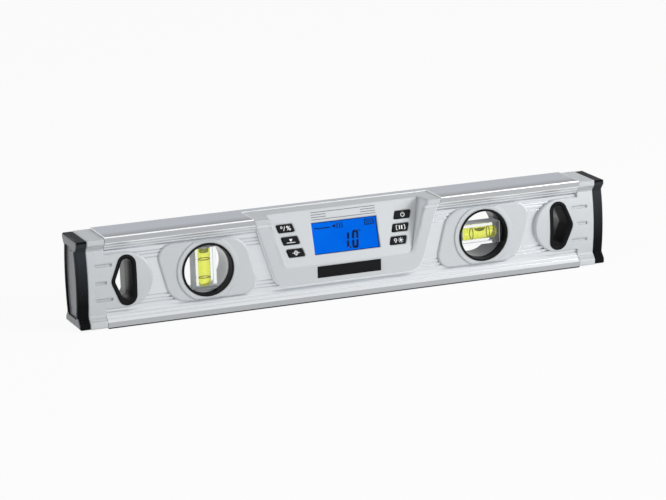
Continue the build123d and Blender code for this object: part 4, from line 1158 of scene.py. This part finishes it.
def add_ball(name, place, radii):
    """Add a stretched sphere."""
    bpy.ops.object.select_all(action="DESELECT")
    bpy.ops.mesh.primitive_uv_sphere_add(segments=BALL_SEGMENTS, ring_count=BALL_SEGMENTS // 2, radius=1,
                                         location=place)
    ball = bpy.context.object
    ball.name = name
    ball.scale = radii
    apply_place()
    return ball


def carve(piece, tool, operation):
    """Cut a tool out of a piece, or keep what both share, and remove the tool."""
    cut = piece.modifiers.new("carve", "BOOLEAN")
    cut.operation = operation
    cut.object = tool
    bpy.context.view_layer.objects.active = piece
    bpy.ops.object.modifier_apply(modifier=cut.name)
    bpy.data.objects.remove(tool)


print("a ball has", BALL_SEGMENTS, "sides")

# %% Bubble of the level vial
BALL_LIFT = 0.5 * MM  # the sphere's middle above the top of the bubble
BALL_STRETCH = 1.03  # the sphere is this much longer than the bubble
TUBE_LONG = 30 * MM
CUT_SMOOTH = 35  # degrees

level_low, level_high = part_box("level_bubble")
level_middle = (level_low + level_high) / 2
fluid_low, fluid_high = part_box("level_fluid")
tube_middle = (fluid_low + fluid_high) / 2
ball_centre = Vector((level_middle.x, level_middle.y, level_high.z + BALL_LIFT))
ball_radii = ((level_high.x - level_low.x) / 2 * BALL_STRETCH,
              (level_high.y - level_low.y) / 2,
              ball_centre.z - level_low.z)
level_bubble = add_ball("level_air", ball_centre, ball_radii)
bpy.ops.mesh.primitive_cylinder_add(vertices=ROUND_SIDES, radius=level_high.z - tube_middle.z,
                                    depth=TUBE_LONG, location=tube_middle, rotation=(0, pi / 2, 0))
carve(level_bubble, bpy.context.object, "INTERSECT")
smooth_shade(level_bubble, CUT_SMOOTH)
finish_piece(level_bubble, air, "level_bubble")
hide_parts("level_bubble")
print(level_bubble.name, "is", round((level_high.x - level_low.x) / MM, 1), "mm long")

# %% Bubble of the plumb vial
plumb_low, plumb_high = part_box("plumb_bubble")
plumb_radii = (plumb_high - plumb_low) / 2
plumb_bubble = add_ball("plumb_air", (plumb_low + plumb_high) / 2, plumb_radii)
bpy.ops.object.shade_smooth()
finish_piece(plumb_bubble, air, "plumb_bubble")
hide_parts("plumb_bubble")
print(plumb_bubble.name, "is", round(2 * plumb_radii.x / MM, 1), "mm wide")

# %% [markdown]
# ## Cover screws
# Four screws hold the rear cover. CAD gives their size and place; what shows of them is a domed head with
# a cross recess. One screw is modelled, its recess cut by two bars, and then copied.

# %% Size of the screws
RIM_SKIN = 0.5 * MM  # points this near to the widest one lie on the head's rim
END_SKIN = 0.1 * MM  # points this near to the lowest one lie on the shank's end

screw_low, screw_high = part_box("cover_screws")
screw_middle = (screw_low.z + screw_high.z) / 2
screw_groups = {}
for vertex in nodes["cover_screws"].data.vertices:
    point = vertex.co
    screw_groups.setdefault((point.x > 0, point.z > screw_middle), []).append(point)
first = screw_groups[True, True]
head_radius = span([p.x for p in first]) / 2
head_top = max(p.y for p in first)
head_side = max(p.x for p in first)
head_low = min(p.y for p in first if p.x > head_side - RIM_SKIN)
screw_end = min(p.y for p in first)
shank_radius = span([p.x for p in first if p.y < screw_end + END_SKIN]) / 2
head_thick = head_top - head_low
print("screw heads", round(2 * head_radius / MM, 1), "mm wide and", round(head_thick / MM, 1), "mm thick")

# %% One screw
RECESS_LONG = 3.0
RECESS_WIDTH = 0.75
RECESS_DEEP = 0.7
HEAD_EDGE = 0.45
HEAD_SIDES = 48
DOME_STEPS = 4

bpy.ops.object.select_all(action="DESELECT")
bpy.ops.mesh.primitive_cylinder_add(vertices=HEAD_SIDES, radius=head_radius, depth=head_thick,
                                    location=(0, 0, -head_thick / 2))
screw = bpy.context.object
apply_place()
select_faces(screw, (0, 0, -1))
bpy.ops.mesh.inset(thickness=head_radius - shank_radius)
bpy.ops.mesh.extrude_region_move(TRANSFORM_OT_translate={"value": (0, 0, screw_end - head_low)})
bpy.ops.object.mode_set(mode="OBJECT")
dome = screw.modifiers.new("domed_edge", "BEVEL")
dome.width = HEAD_EDGE * MM
dome.segments = DOME_STEPS
dome.limit_method = "ANGLE"
bpy.ops.object.modifier_apply(modifier=dome.name)
for turn in (0, pi / 2):
    bpy.ops.object.select_all(action="DESELECT")
    bpy.ops.mesh.primitive_cube_add(size=MM, rotation=(0, 0, turn))
    bar = bpy.context.object
    bar.scale = (RECESS_LONG, RECESS_WIDTH, 2 * RECESS_DEEP)
    apply_place()
    carve(screw, bar, "DIFFERENCE")
smooth_shade(screw, CUT_SMOOTH)
print("one screw with a recess", RECESS_DEEP, "mm deep")

# %% All screws
FACING_REAR = Matrix.Rotation(-pi / 2, 4, "X")
for number, points in enumerate(screw_groups.values(), 1):
    copy = screw.copy()
    copy.data = screw.data.copy()
    copy.name = "cover_screw_" + str(number)
    bpy.context.scene.collection.objects.link(copy)
    place = Vector([(min(reach) + max(reach)) / 2 for reach in zip(*points)])
    place.y = head_top
    put(copy, Matrix.Translation(place) @ FACING_REAR)
    finish_piece(copy, plated_steel, "level_body")
    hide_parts("cover_screws")
bpy.data.objects.remove(screw)
print(len(screw_groups), "cover screws")
